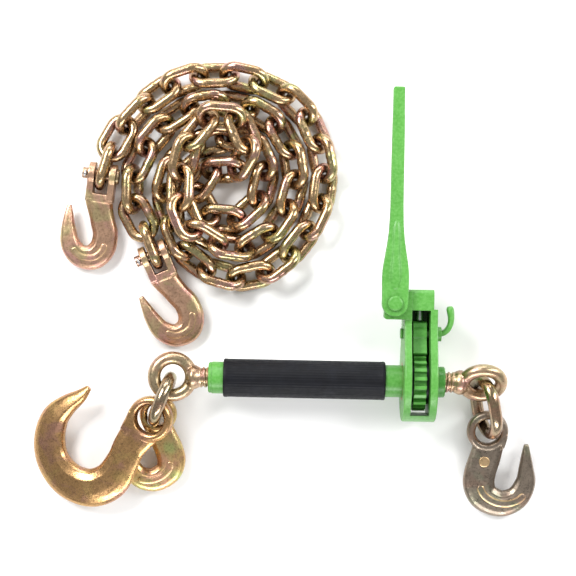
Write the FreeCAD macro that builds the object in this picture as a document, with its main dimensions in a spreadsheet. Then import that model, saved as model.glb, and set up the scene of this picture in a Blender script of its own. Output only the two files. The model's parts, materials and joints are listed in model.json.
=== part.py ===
"""Folding-handle ratchet load binder with its end hooks and a coiled transport chain.

Frame: +Z up, the set lies on the plane Z = 0, +X along the barrel towards the ratchet,
+Y along the raised handle.  The origin is the middle of the set's footprint.
"""
import FreeCAD, Part
import Sketcher
import math
import os

V = FreeCAD.Vector
X_AXIS = V(1, 0, 0)
Y_AXIS = V(0, 1, 0)
Z_AXIS = V(0, 0, 1)

# ----------------------------------------------------------------- driving dimensions
SIZES = {
    # where things lie
    "shift_x": 2.0,
    "shift_y": -3.0,
    "axis_y": -83.0,
    "axis_z": 38.0,
    # barrel and its threaded bushes
    "barrel_left": -72.0,
    "barrel_length": 217.0,
    "barrel_radius": 15.5,
    "barrel_bore": 12.3,
    "bush_radius": 12.28,
    "bush_length": 26.0,
    "thread_bore": 10.06,
    "left_flange": 3.5,
    "right_flange": 7.5,
    "flange_radius": 14.9,
    "flange_chamfer": 1.0,
    # rubber grip
    "grip_left": -61.0,
    "grip_length": 156.0,
    "grip_bore": 15.52,
    "grip_radius": 18.7,
    # ratchet housing
    "housing_left": 111.5,
    "housing_width": 32.0,
    "housing_radius": 38.7,
    "housing_top": 89.0,
    "housing_top_half": 20.5,
    "shoulder_height": 56.0,
    "block_inset": 4.0,
    "block_from": 70.0,
    "slot_width": 18.0,
    "slot_low": 31.5,
    "slot_high": 69.0,
    "plate_bore": 18.5,
    "plate_bush_bore": 15.56,
    "plate_thickness": 7.0,
    # gear
    "gear_radius": 28.0,
    "gear_root": 23.8,
    "gear_width": 11.8,
    "gear_bore": 15.53,
    "gear_teeth": 20,
    "gap_bottom": 2.1,
    "gap_top": 2.9,
    "washer_radius": 21.5,
    "washer_thickness": 2.4,
    # pawl group
    "pawl_height": 46.3,
    "pawl_pin_radius": 4.0,
    "pawl_pin_bore": 4.07,
    "pawl_width": 13.0,
    "pawl_lobe": 12.0,
    "pawl_reach": 23.4,
    "pawl_spread": 35.7,
    # spring plunger
    "plunger_radius": 3.5,
    "plunger_bore": 3.57,
    "plunger_tip": 58.65,
    "chamber_low": 74.0,
    "chamber_radius": 4.8,
    "plug_low": 84.0,
    "plug_radius": 5.6,
    # folding handle
    "pivot_x": 101.4,
    "pivot_height": 75.4,
    "pivot_radius": 5.0,
    "pivot_bore": 5.06,
    "tab_low": 42.0,
    "tab_high": 59.6,
    "tab_left": 92.0,
    "tab_bottom": 60.0,
    "handle_low": 60.0,
    "handle_thickness": 9.6,
    # eye screws
    "shank_radius": 10.0,
    "eye_bar": 6.2,
    "eye_ring": 18.0,
    "left_eye_x": -110.2,
    "right_eye_x": 189.6,
    "left_shank_end": 31.5,
    "right_shank_end": 41.5,
    "stop_radius": 12.0,
    "stop_length": 4.0,
    # connecting links
    "link_bar": 6.0,
    "link_bow": 21.5,
    # chain
    "chain_wire": 5.0,
    "chain_bow": 12.0,
    "chain_half": 8.5,
    "chain_pitch": 29.6,
    "coil_x": -70.1,
    "coil_y": 108.9,
    # clevis hooks
    "clevis_pin": 5.4,
    "clevis_bore": 5.46,
    "clevis_gap": 7.0,
    "clevis_half": 13.6,
    "clevis_ear": 11.6,
    "clevis_crotch": 18.4,
}

document = FreeCAD.newDocument("load_binder")
sheet = document.addObject("Spreadsheet::Sheet", "sizes")
for row, (alias, size) in enumerate(SIZES.items(), start=1):
    sheet.set("A%d" % row, alias)
    sheet.set("B%d" % row, str(size))
    sheet.setAlias("B%d" % row, alias)
document.recompute()

SUBPARTS = []


def value(alias):
    """The sheet's number for an alias."""
    return float(getattr(sheet, alias))


def amount(formula):
    """The value of a sum of aliases and numbers, such as "slot_low + 2"."""
    total = 0.0
    sign = 1
    for word in formula.split():
        if word in "+-":
            sign = 1 if word == "+" else -1
        else:
            total += sign * (value(word) if word in SIZES else float(word))
    return total


def bound(formula):
    """The same sum, written as an expression on the sheet."""
    return " ".join("sizes." + word if word in SIZES else word for word in formula.split())


def place(x, y, z, rotation=None):
    """A placement in the set's frame, whose origin is the middle of the footprint."""
    base = V(x + value("shift_x"), y + value("shift_y"), z)
    return FreeCAD.Placement(base, rotation or FreeCAD.Rotation())


def on_axis(x):
    """A placement on the barrel's axis."""
    return place(x, value("axis_y"), value("axis_z"))


def keep(thing, label):
    """Registers an object as the sub-part of that name."""
    thing.Label = label
    SUBPARTS.append(thing)
    return thing


def set_shape(label, shape, placement):
    """A sub-part whose shape is computed from the sheet's sizes."""
    thing = document.addObject("Part::Feature", label)
    own = shape.Placement
    thing.Shape = shape
    thing.Placement = placement.multiply(own)
    return keep(thing, label)


# ----------------------------------------------------------------- sketch helpers
def new_body(label, placement):
    body = document.addObject("PartDesign::Body", label)
    body.Placement = placement
    return keep(body, label)


def origin_plane(body, role):
    for feature in body.Origin.OriginFeatures:
        if feature.Role == role:
            return feature
    raise ValueError(role)


def new_sketch(body, name, role):
    sketch = body.newObject("Sketcher::SketchObject", name)
    sketch.AttachmentSupport = [(origin_plane(body, role), "")]
    sketch.MapMode = "FlatFace"
    return sketch


def fix_point(sketch, line, end, across, up):
    """Ties one end of an edge to two formulas, measured from the sketch's origin."""
    for kind, formula in (("DistanceX", across), ("DistanceY", up)):
        index = sketch.addConstraint(Sketcher.Constraint(kind, -1, 1, line, end, amount(formula)))
        sketch.setExpression("Constraints[%d]" % index, bound(formula))


def polygon(sketch, points):
    """A closed outline whose corners are pairs of formulas."""
    corners = [V(amount(across), amount(up), 0) for across, up in points]
    first = sketch.GeometryCount
    count = len(points)
    for k in range(count):
        sketch.addGeometry(Part.LineSegment(corners[k], corners[(k + 1) % count]), False)
    for k in range(count):
        following = first + (k + 1) % count
        sketch.addConstraint(Sketcher.Constraint("Coincident", first + k, 2, following, 1))
    for k, (across, up) in enumerate(points):
        fix_point(sketch, first + k, 1, across, up)


def ring(sketch, across, up, radius):
    """A circle tied to three formulas."""
    centre = V(amount(across), amount(up), 0)
    line = sketch.addGeometry(Part.Circle(centre, Z_AXIS, amount(radius)), False)
    fix_point(sketch, line, 3, across, up)
    index = sketch.addConstraint(Sketcher.Constraint("Radius", line, amount(radius)))
    sketch.setExpression("Constraints[%d]" % index, bound(radius))


def turned(label, placement, points):
    """A body turned about X: its outline is pairs of (along X, radius)."""
    body = new_body(label, placement)
    sketch = new_sketch(body, label + "_outline", "XY_Plane")
    polygon(sketch, points)
    turning = body.newObject("PartDesign::Revolution", label + "_turning")
    turning.Profile = sketch
    turning.ReferenceAxis = (sketch, ["H_Axis"])
    turning.Angle = 360
    return body


def tube(label, x, length, inner, outer):
    """A plain ring on the barrel's axis."""
    points = [("0", inner), (length, inner), (length, outer), ("0", outer)]
    return turned(label, on_axis(x), points)


# ----------------------------------------------------------------- shape helpers
def outward(solid):
    """The solid with its faces looking out."""
    return solid if solid.Volume > 0 else solid.reversed()


def bar_section(centre, along, flat, width, thickness, squareness):
    """A closed rounded section across a bar: width lies across, thickness along flat."""
    across = along.cross(flat).normalize()
    rows = []
    count = 16
    for k in range(count):
        angle = 2 * math.pi * k / count
        cosine, sine = math.cos(angle), math.sin(angle)
        reach = (abs(cosine) ** squareness + abs(sine) ** squareness) ** (-1.0 / squareness)
        rows.append(centre + across * (width / 2 * cosine * reach)
                    + flat * (thickness / 2 * sine * reach))
    curve = Part.BSplineCurve()
    curve.interpolate(rows, PeriodicFlag=True)
    first, last = curve.FirstParameter, curve.LastParameter
    middle = (first + last) / 2
    return Part.Wire([curve.toShape(first, middle), curve.toShape(middle, last)])


def forged_bar(stations, squareness=2.6):
    """A bar bent in the XY plane.  Each station is (x, y, width, thickness)."""
    route = Part.BSplineCurve()
    route.interpolate([V(x, y, 0) for x, y, _, _ in stations])
    wires = []
    for x, y, width, thickness in stations:
        centre = V(x, y, 0)
        along = V(*route.tangent(route.parameter(centre))[0]).normalize()
        wires.append(bar_section(centre, along, Z_AXIS, width, thickness, squareness))
    return outward(Part.makeLoft(wires, True, False, False, 3))


def eye_ring(centre, hole, outer, thickness):
    """A forged eye: an oval section turned about the hole's axis."""
    middle = (hole + outer) / 2
    oval = Part.Ellipse(V(0, 0, 0), max(thickness, outer - hole) / 2,
                        min(thickness, outer - hole) / 2).toShape()
    face = Part.Face(Part.Wire([oval]))
    face.rotate(V(0, 0, 0), X_AXIS, 90)
    if thickness > outer - hole:
        face.rotate(V(0, 0, 0), Y_AXIS, 90)
    face.translate(V(middle, 0, 0))
    half = outward(face.revolve(V(0, 0, 0), Z_AXIS, 180))
    other = half.copy()
    other.rotate(V(0, 0, 0), Z_AXIS, 180)
    solid = half.fuse(other)
    solid.translate(centre)
    return solid


def round_link(bow, half, wire, reach_axis=X_AXIS, side_axis=Y_AXIS):
    """A link of round bar: two bows of radius bow joined by straights of length 2 half."""
    ends = []
    for sign in (1, -1):
        torus = Part.makeTorus(bow, wire, V(0, 0, 0), Z_AXIS, -180, 180, 180)
        torus.rotate(V(0, 0, 0), Z_AXIS, -90 if sign > 0 else 90)
        torus.translate(V(sign * half, 0, 0))
        ends.append(torus)
    for sign in (1, -1):
        ends.append(Part.makeCylinder(wire, 2 * half, V(-half, sign * bow, 0), X_AXIS))
    solid = ends[0].multiFuse(ends[1:]).removeSplitter()
    return solid.Solids[0]


def lay_on(direction, side):
    """The rotation that takes local X to direction and local Y as near side as it can."""
    normal = direction.cross(side).normalize()
    across = normal.cross(direction)
    return FreeCAD.Rotation(direction, across, normal, "XYZ")


# ----------------------------------------------------------------- barrel group
def make_barrel():
    length = "barrel_length"
    tube("barrel_tube", value("barrel_left"), length, "barrel_bore", "barrel_radius")
    tube("grip_sleeve", value("grip_left"), "grip_length", "grip_bore", "grip_radius")
    turned("left_thread_bush", on_axis(value("barrel_left") - value("left_flange")), [
        ("0", "thread_bore"), ("left_flange + bush_length", "thread_bore"),
        ("left_flange + bush_length", "bush_radius"), ("left_flange", "bush_radius"),
        ("left_flange", "flange_radius"), ("flange_chamfer", "flange_radius"),
        ("0", "flange_radius - flange_chamfer")])
    barrel_right = value("barrel_left") + value("barrel_length")
    turned("right_thread_bush", on_axis(barrel_right - value("bush_length")), [
        ("0", "thread_bore"), ("bush_length + right_flange", "thread_bore"),
        ("bush_length + right_flange", "flange_radius - flange_chamfer"),
        ("bush_length + right_flange - flange_chamfer", "flange_radius"),
        ("bush_length", "flange_radius"), ("bush_length", "bush_radius"),
        ("0", "bush_radius")])


def make_gear():
    """The ratchet gear: a disc with square-shouldered gaps cut all round."""
    middle = value("housing_left") + value("housing_width") / 2
    start = middle - value("gear_width") / 2
    gear = new_body("ratchet_gear", on_axis(start))
    disc = new_sketch(gear, "gear_disc", "YZ_Plane")
    ring(disc, "0", "0", "gear_radius")
    ring(disc, "0", "0", "gear_bore")
    pad = gear.newObject("PartDesign::Pad", "gear_pad")
    pad.Profile = disc
    pad.setExpression("Length", "sizes.gear_width")
    document.recompute()
    full = pad.Shape.Volume
    gap = new_sketch(gear, "gear_gap", "YZ_Plane")
    polygon(gap, [("0 - gap_bottom", "gear_root"), ("gap_bottom", "gear_root"),
                  ("gap_top", "gear_radius + 1"), ("0 - gap_top", "gear_radius + 1")])
    cut = gear.newObject("PartDesign::Pocket", "gear_gap_cut")
    cut.Profile = gap
    cut.Type = "ThroughAll"
    cut.Midplane = True
    pattern = gear.newObject("PartDesign::PolarPattern", "gear_gaps")
    pattern.Originals = [cut]
    pattern.Axis = (gap, ["N_Axis"])
    pattern.Angle = 360
    pattern.setExpression("Occurrences", "sizes.gear_teeth")
    gear.Tip = pattern
    document.recompute()
    if gear.Shape.Volume > full * 0.97:
        raise RuntimeError("the gear's gaps were not cut")
    return middle


def make_washers(middle):
    reach = value("gear_width") / 2
    for side, name in ((-1, "left_thrust_washer"), (1, "right_thrust_washer")):
        start = middle + side * (reach + 0.3)
        start -= value("washer_thickness") if side < 0 else 0
        tube(name, start, "washer_thickness", "gear_bore", "washer_radius")


def make_plate_bushes():
    left = value("housing_left")
    right = left + value("housing_width") - value("plate_thickness")
    for name, start in (("left_housing_bush", left), ("right_housing_bush", right)):
        tube(name, start, "plate_thickness", "plate_bush_bore", "plate_bore - 0.02")


# ----------------------------------------------------------------- ratchet housing
def make_housing():
    """One forging: two plates, the top block, the bottom bar and the handle's tab."""
    radius = value("housing_radius")
    top = value("housing_top")
    half = value("housing_top_half")
    shoulder = value("shoulder_height")
    width = value("housing_width")
    # the straight flanks leave the round bottom at its tangent points
    reach = math.hypot(shoulder, half)
    turn = math.atan2(half, shoulder) + math.acos(radius / reach)
    touch = V(0, radius * math.cos(turn), radius * math.sin(turn))
    corner = 5.0
    bulge = 0.3 * corner
    right_side = [touch, V(0, shoulder, half), V(0, top - corner, half)]
    left_side = [V(0, p.y, -p.z) for p in right_side]
    outline = [Part.Arc(touch, V(0, -radius, 0), left_side[0]).toShape()]
    for side in (left_side, right_side):
        outline.append(Part.LineSegment(side[0], side[1]).toShape())
        outline.append(Part.LineSegment(side[1], side[2]).toShape())
    ends = [V(0, top, corner - half), V(0, top, half - corner)]
    outline.append(Part.LineSegment(ends[0], ends[1]).toShape())
    for side, end, sign in ((left_side, ends[0], -1), (right_side, ends[1], 1)):
        middle = V(0, top - bulge, sign * (half - bulge))
        outline.append(Part.Arc(side[2], middle, end).toShape())
    outline = Part.__sortEdges__(outline)
    body = Part.Face(Part.Wire(outline)).extrude(V(width, 0, 0))
    rim = [e for e in body.Edges if abs(e.BoundBox.XMax - e.BoundBox.XMin) < 1e-6]
    body = body.makeFillet(1.6, rim)
    # the top block is narrower than the two plates
    inset = value("block_inset")
    step = value("block_from")
    for start in (-1.0, width - inset):
        waste = Part.makeBox(inset + 1.0, top - step + 1.0, 2 * radius, V(start, step, -radius))
        body = body.cut(waste)
    tab_low = value("tab_low") - value("axis_z")
    tab_height = value("tab_high") - value("tab_low")
    tab_left = value("tab_left") - value("housing_left")
    tab_reach = -tab_left + inset + 3.0
    tab_bottom = value("tab_bottom")
    tab = Part.makeBox(tab_reach, top - tab_bottom - 2.0, tab_height, V(tab_left, tab_bottom, tab_low))
    outer = [e for e in tab.Edges if abs(e.BoundBox.XMax - tab_left) < 1e-6
             and e.BoundBox.ZLength > 1.0]
    body = body.fuse(tab.makeFillet(3.0, outer))
    # slot for the gear and the pawl, open front and back
    slot = value("slot_width")
    low, high = value("slot_low"), value("slot_high")
    slot_start = (width - slot) / 2
    body = body.cut(Part.makeBox(slot, low + high, 4 * radius, V(slot_start, -low, -2 * radius)))
    # flat feet that the binder rests on, whichever way up it lies
    foot = value("axis_z")
    for start in (foot, -foot - radius):
        body = body.cut(Part.makeBox(width + 2.0, 4 * radius, radius, V(-1, -2 * radius, start)))
    # bores
    pawl_y = value("pawl_height")
    middle = width / 2
    pivot = V(value("pivot_x") - value("housing_left"), value("pivot_height"), tab_low - 1)
    for cutter in (
            Part.makeCylinder(value("plate_bore"), width + 2, V(-1, 0, 0), X_AXIS),
            Part.makeCylinder(value("pawl_pin_bore"), width + 2, V(-1, pawl_y, 0), X_AXIS),
            Part.makeCylinder(value("plunger_bore"), top - high + 2, V(middle, high - 1, 0), Y_AXIS),
            Part.makeCylinder(value("chamber_radius"), top, V(middle, value("chamber_low"), 0), Y_AXIS),
            Part.makeCylinder(value("plug_radius"), top, V(middle, value("plug_low"), 0), Y_AXIS),
            Part.makeCylinder(value("pivot_bore"), tab_height + 2, pivot, Z_AXIS)):
        body = body.cut(cutter)
    place_here = on_axis(value("housing_left"))
    set_shape("ratchet_housing", body.removeSplitter(), place_here)


def make_pawl():
    """The double-ended pawl, the pin that turns with it and the shift lever outside."""
    axis_y = value("axis_y") + value("pawl_height")
    middle = value("housing_left") + value("housing_width") / 2
    half = value("pawl_width") / 2
    reach = value("pawl_reach")
    lobe = value("pawl_lobe")
    solid = Part.makeCylinder(9.0, 2 * half, V(-half, 0, 0), X_AXIS)
    crown = Part.makeCylinder(lobe, 2 * half, V(-half, 0, 0), X_AXIS)
    crown = crown.common(Part.makeBox(2 * half, lobe, 2 * 6.5, V(-half, 0, -6.5)))
    solid = solid.fuse(crown)
    for sign in (1, -1):
        angle = math.radians(value("pawl_spread"))
        along = V(0, -math.cos(angle), sign * math.sin(angle))
        across = V(0, sign * along.z, -sign * along.y)
        root, tip = 5.2, 1.3
        corners = [across * root, across * -root, along * reach + across * -tip,
                   along * reach + across * tip]
        corners = [c - X_AXIS * half for c in corners]
        claw = Part.Face(Part.makePolygon(corners + [corners[0]])).extrude(X_AXIS * (2 * half))
        solid = solid.fuse(claw)
    pin = value("pawl_pin_radius")
    solid = solid.cut(Part.makeCylinder(pin, 4 * half, V(-2 * half, 0, 0), X_AXIS))
    set_shape("pawl", solid.removeSplitter(), place(middle, axis_y, value("axis_z")))

    left = value("housing_left")
    right = left + value("housing_width")
    head, head_length = 5.2, 2.2
    tail = 5.0
    start = left - 0.4 - head_length
    turned_pin = Part.makeCylinder(head, head_length, V(start, 0, 0), X_AXIS)
    turned_pin = turned_pin.makeFillet(1.0, [turned_pin.Edges[2]])
    rod = Part.makeCylinder(pin, right + tail - start, V(start, 0, 0), X_AXIS)
    set_shape("pawl_pin", turned_pin.fuse(rod).removeSplitter(), place(0, axis_y, value("axis_z")))

    hub = Part.makeCylinder(7.0, tail - 0.6, V(right + 0.6, 0, 0), X_AXIS)
    bar = forged_bar([
        (right + 3.0, 0.0, 4.4, 10.0), (right + 6.5, 1.0, 5.6, 11.0), (right + 11.0, 4.5, 5.6, 12.0),
        (right + 13.8, 10.5, 5.6, 12.0), (right + 14.2, 18.0, 6.4, 12.0),
        (right + 13.2, 24.0, 7.0, 11.0), (right + 12.6, 27.0, 4.0, 6.0)], 3.0)
    lever = hub.fuse(bar).cut(Part.makeCylinder(pin, tail, V(right, 0, 0), X_AXIS))
    set_shape("shift_lever", lever.removeSplitter(), place(0, axis_y, value("axis_z")))


def make_plunger():
    """The sprung plunger that holds the pawl over, its spring and the screwed plug."""
    middle = value("housing_left") + value("housing_width") / 2
    here = on_axis(middle)
    radius = value("plunger_radius")
    tip = value("plunger_tip")
    flange = value("chamber_low") + 0.3
    flange_thickness = 2.0
    stem = Part.makeCylinder(radius, flange - tip, V(0, tip, 0), Y_AXIS)
    stem = stem.makeFillet(1.4, [e for e in stem.Edges if abs(e.BoundBox.YMax - tip) < 1e-6])
    rim = value("chamber_radius") - 0.2
    body = stem.fuse(Part.makeCylinder(rim, flange_thickness, V(0, flange, 0), Y_AXIS))
    set_shape("plunger", body.removeSplitter(), here)

    low = flange + flange_thickness + 0.2
    high = value("plug_low") - 0.2
    wire = 0.7
    coils = 3
    coil_radius = rim - wire - 0.1
    pitch = (high - low - 2 * wire) / coils
    helix = Part.makeHelix(pitch, pitch * coils, coil_radius)
    section = Part.Wire([Part.Circle(V(coil_radius, 0, 0), Y_AXIS, wire).toShape()])
    spring = Part.Wire(helix.Edges).makePipeShell([section], True, False)
    spring.rotate(V(0, 0, 0), X_AXIS, -90)
    spring.translate(V(0, low + wire, 0))
    set_shape("plunger_spring", spring, here)

    top = value("housing_top")
    plug_radius = value("plug_radius") - 0.02
    plug = Part.makeCylinder(plug_radius, top - 0.5 - value("plug_low"), V(0, value("plug_low"), 0), Y_AXIS)
    key = Part.Face(Part.makePolygon([
        V(3.0 * math.cos(math.radians(60 * k)), top, 3.0 * math.sin(math.radians(60 * k)))
        for k in range(7)]))
    set_shape("plunger_plug", plug.cut(key.extrude(V(0, -3.0, 0))), here)


# ----------------------------------------------------------------- folding handle
def make_handle():
    """The forged lever: a broad boss at the pivot that narrows to a long flat blade."""
    half_widths = [(0.0, 12.5), (17.0, 12.8), (32.6, 12.4), (42.0, 11.0), (54.3, 9.0),
                   (66.7, 7.45), (79.0, 6.65), (110.0, 6.2), (172.0, 5.9), (204.0, 5.6)]
    right = Part.BSplineCurve()
    right.interpolate([V(w, y, 0) for y, w in half_widths], InitialTangent=V(0, 1, 0),
                      FinalTangent=V(0, 1, 0))
    left = Part.BSplineCurve()
    left.interpolate([V(-w, y, 0) for y, w in reversed(half_widths)],
                     InitialTangent=V(0, -1, 0), FinalTangent=V(0, -1, 0))
    boss = half_widths[0][1]
    top_y, top_half = half_widths[-1]
    corner = 2.0
    crown = top_y + corner
    outline = [
        right.toShape(),
        Part.Arc(V(top_half, top_y, 0), V(top_half - 0.3 * corner, crown - 0.3 * corner, 0),
                 V(top_half - corner, crown, 0)).toShape(),
        Part.LineSegment(V(top_half - corner, crown, 0), V(corner - top_half, crown, 0)).toShape(),
        Part.Arc(V(corner - top_half, crown, 0), V(0.3 * corner - top_half, crown - 0.3 * corner, 0),
                 V(-top_half, top_y, 0)).toShape(),
        left.toShape(),
        Part.Arc(V(-boss, 0, 0), V(0, -boss, 0), V(boss, 0, 0)).toShape(),
    ]
    thick = value("handle_thickness")
    lever = Part.Face(Part.Wire(outline)).extrude(V(0, 0, thick))
    lever = lever.cut(Part.makeCylinder(value("pivot_bore"), thick + 2, V(0, 0, -1), Z_AXIS))
    ridge = forged_bar([(0, 14, 4.0, 1.5), (0, 19, 8.0, 3.0), (0, 45, 7.0, 3.0), (0, 72, 5.0, 2.2),
                        (0, 78, 2.0, 1.0)])
    ridge.translate(V(0, 0, thick))
    lever = lever.fuse(ridge)
    pivot_y = value("axis_y") + value("pivot_height")
    set_shape("handle", lever.removeSplitter(), place(value("pivot_x"), pivot_y, value("handle_low")))

    top = value("handle_low") + thick
    head = Part.makeCylinder(7.4, 3.4, V(0, 0, top + 0.3), Z_AXIS)
    head = head.makeFillet(2.2, [e for e in head.Edges if e.BoundBox.ZMin > top + 3.0])
    nut_low = value("tab_low") - 8.4
    stem = Part.makeCylinder(value("pivot_radius"), top + 1.0 - nut_low + 1.5, V(0, 0, nut_low - 1.5), Z_AXIS)
    set_shape("handle_bolt", head.fuse(stem).removeSplitter(), place(value("pivot_x"), pivot_y, 0))

    washer = Part.makeCylinder(9.6, 1.6, V(0, 0, value("tab_low") - 1.7), Z_AXIS)
    washer = washer.cut(Part.makeCylinder(value("pivot_bore"), 4, V(0, 0, value("tab_low") - 3), Z_AXIS))
    set_shape("handle_washer", washer, place(value("pivot_x"), pivot_y, 0))
    nut_top = value("tab_low") - 1.8
    nut_corner = 9.2
    nut = Part.Face(Part.makePolygon([
        V(nut_corner * math.cos(math.radians(60 * k)), nut_corner * math.sin(math.radians(60 * k)), nut_low)
        for k in range(7)])).extrude(V(0, 0, nut_top - nut_low))
    nut = nut.cut(Part.makeCylinder(value("pivot_radius") + 0.02, 10, V(0, 0, nut_low - 1), Z_AXIS))
    set_shape("handle_nut", nut, place(value("pivot_x"), pivot_y, 0))


# ----------------------------------------------------------------- eye screws
def make_eye_screw(name, side, eye_x, shank_end, tilt):
    """A screw with a forged ring: the shank runs into the barrel along side * X."""
    ring_radius, bar = value("eye_ring"), value("eye_bar")
    eye = Part.makeTorus(ring_radius, bar)
    eye.rotate(V(0, 0, 0), X_AXIS, tilt)
    radius = value("shank_radius")
    length = abs(shank_end - eye_x)
    start = ring_radius + bar * 0.55
    shank = Part.makeCylinder(radius, length - start - 6.0, V(start + 6.0, 0, 0), X_AXIS)
    shank = shank.makeChamfer(1.0, [e for e in shank.Edges if e.BoundBox.XMin > length - 0.1])
    neck = Part.makeCone(6.6, radius - 0.4, 8.0, V(start - 2.0, 0, 0), X_AXIS)
    solid = shank.fuse(neck).fuse(eye)
    if side < 0:
        solid.rotate(V(0, 0, 0), Z_AXIS, 180)
    solid = solid.removeSplitter()
    set_shape(name, solid, on_axis(eye_x))


def make_eye_screws():
    make_eye_screw("left_eye_screw", 1, value("left_eye_x"), value("left_shank_end"), 0)
    make_eye_screw("right_eye_screw", -1, value("right_eye_x"), value("right_shank_end"), -45)
    # a ring crimped on each shank's end stops the screw from leaving the barrel
    stop = value("stop_length")
    tube("left_stop_ring", value("left_shank_end") - stop - 1.0, "stop_length", "shank_radius + 0.01",
         "stop_radius")
    tube("right_stop_ring", value("right_shank_end") + 1.0, "stop_length", "shank_radius + 0.01",
         "stop_radius")


# ----------------------------------------------------------------- connecting links
def make_link(name, high, low, roll):
    """An oval connecting link between two bows, rolled about its own length."""
    bow, bar = value("link_bow"), value("link_bar")
    along = (low - high).normalize()
    half = (low - high).Length / 2 - bow
    level = Z_AXIS.cross(along).normalize()
    upright = along.cross(level)
    angle = math.radians(roll)
    side = upright * math.cos(angle) + level * math.sin(angle)
    middle = (low + high) / 2
    solid = round_link(bow, half, bar)
    set_shape(name, solid, place(middle.x, middle.y, middle.z, lay_on(along, side)))


# ----------------------------------------------------------------- hooks
def slip_hook_shape():
    """Wide forged hook: eye at the origin, the throat open to the upper right."""
    stations = [(-8.0, -11.0, 22.0, 13.0), (-19.5, -26.0, 28.0, 15.0), (-28.5, -44.0, 33.0, 16.5),
                (-41.0, -63.0, 37.5, 18.5), (-61.5, -71.2, 38.0, 20.5), (-84.0, -64.5, 36.5, 21.5),
                (-99.5, -46.5, 34.0, 21.0), (-103.5, -25.0, 32.0, 20.0), (-98.0, -4.0, 28.0, 18.5),
                (-85.5, 9.5, 21.0, 16.0), (-72.0, 19.0, 14.0, 12.0), (-62.5, 28.0, 6.0, 6.5)]
    return eye_ring(V(0, 0, 0), 13.8, 22.4, 13.0).fuse(forged_bar(stations, 2.3))


def grab_hook_shape(scale=1.0):
    """Narrow-throat hook: eye at the origin, the tip pointing back up on the right."""
    stations = [(0.5, -16.0, 22.0, 10.5), (-3.5, -27.0, 26.5, 12.5), (-7.0, -41.0, 28.5, 13.5),
                (-7.0, -54.0, 29.5, 14.0), (-0.5, -66.0, 29.0, 14.0), (15.5, -72.5, 26.5, 14.0),
                (31.0, -66.5, 23.5, 13.5), (39.0, -51.5, 20.0, 12.5), (39.3, -36.0, 14.5, 11.0),
                (38.8, -22.0, 9.0, 9.5), (38.6, -12.5, 4.5, 6.0)]
    stations = [(x * scale, y * scale, w * scale, t) for x, y, w, t in stations]
    return eye_ring(V(0, 0, 0), 11.8, 20.4, 11.0).fuse(forged_bar(stations, 3.2))


def clevis_hook_shape():
    """Narrow-throat hook with a fork: the pin runs along X through the origin."""
    gap, half, ear = value("clevis_gap"), value("clevis_half"), value("clevis_ear")
    crotch = value("clevis_crotch")
    pieces = []
    for sign in (1, -1):
        start = gap if sign > 0 else -half
        pieces.append(Part.makeCylinder(ear, half - gap, V(start, 0, 0), X_AXIS))
        pieces.append(Part.makeBox(half - gap, crotch + 5.0, 18.0, V(start, -crotch - 5.0, -9.0)))
    bridge = Part.makeBox(2 * half, 8.0, 17.0, V(-half, -crotch - 8.0, -8.5))
    stations = [(0.0, -21.5, 23.5, 15.0), (2.5, -32.0, 23.0, 15.0), (5.5, -44.0, 24.0, 15.0),
                (10.0, -57.0, 24.5, 15.0), (9.0, -71.0, 25.5, 15.0), (1.0, -81.0, 25.5, 15.0),
                (-12.5, -81.5, 22.5, 15.0), (-22.5, -72.0, 19.5, 14.0), (-26.5, -58.0, 15.0, 12.5),
                (-28.0, -44.0, 9.5, 10.0), (-28.6, -33.5, 4.5, 6.0)]
    body = bridge.fuse(pieces).fuse(forged_bar(stations, 3.2))
    bore = Part.makeCylinder(value("clevis_bore"), 4 * half, V(-2 * half, 0, 0), X_AXIS)
    return body.cut(bore).removeSplitter()


def dipped(level_axis, drop):
    """Local X on a level axis, local -Y pointing away from it and dipping by drop radians."""
    away = level_axis.cross(Z_AXIS).normalize()
    up = away.cross(level_axis)
    pointing = away * math.cos(drop) - up * math.sin(drop)
    back = pointing * -1
    return FreeCAD.Rotation(level_axis, back, level_axis.cross(back), "XYZ")


def lay_down(solid, pivot, level_axis):
    """Dips a piece about its pivot until its lowest point rests on the floor."""
    points = solid.tessellate(0.4)[0]
    floor = 0.15
    low, high = -0.2, 0.6
    for _ in range(40):
        drop = (low + high) / 2
        turn = dipped(level_axis, drop)
        bottom = pivot.z + min(turn.multVec(p).z for p in points)
        if bottom > floor:
            low = drop
        else:
            high = drop
    return place(pivot.x, pivot.y, pivot.z, dipped(level_axis, low))


def level(heading):
    """The level axis whose piece points along heading, in degrees."""
    angle = math.radians(heading + 90)
    return V(math.cos(angle), math.sin(angle), 0)


def make_end_hooks():
    make_link("left_link", V(-112.8, -84.8, 35.2), V(-128.3, -126.3, 27.5), 0)
    make_link("right_link", V(189.0, -80.5, 34.0), V(199.6, -132.4, 23.4), 16)
    # the wide hook swings out towards the lower left, well clear of the narrow one
    heading = -158.3
    slip = slip_hook_shape()
    slip.rotate(V(0, 0, 0), Z_AXIS, -90 - heading)
    set_shape("slip_hook", slip, lay_down(slip, V(-130.9, -124.6, 36.3), level(heading)))
    left = grab_hook_shape(0.9).mirror(V(0, 0, 0), X_AXIS)
    set_shape("left_grab_hook", left, lay_down(left, V(-124.9, -120.9, 19.0), level(-81)))
    right = grab_hook_shape()
    set_shape("right_grab_hook", right, lay_down(right, V(197.8, -131.2, 18.0), level(-90)))


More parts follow.
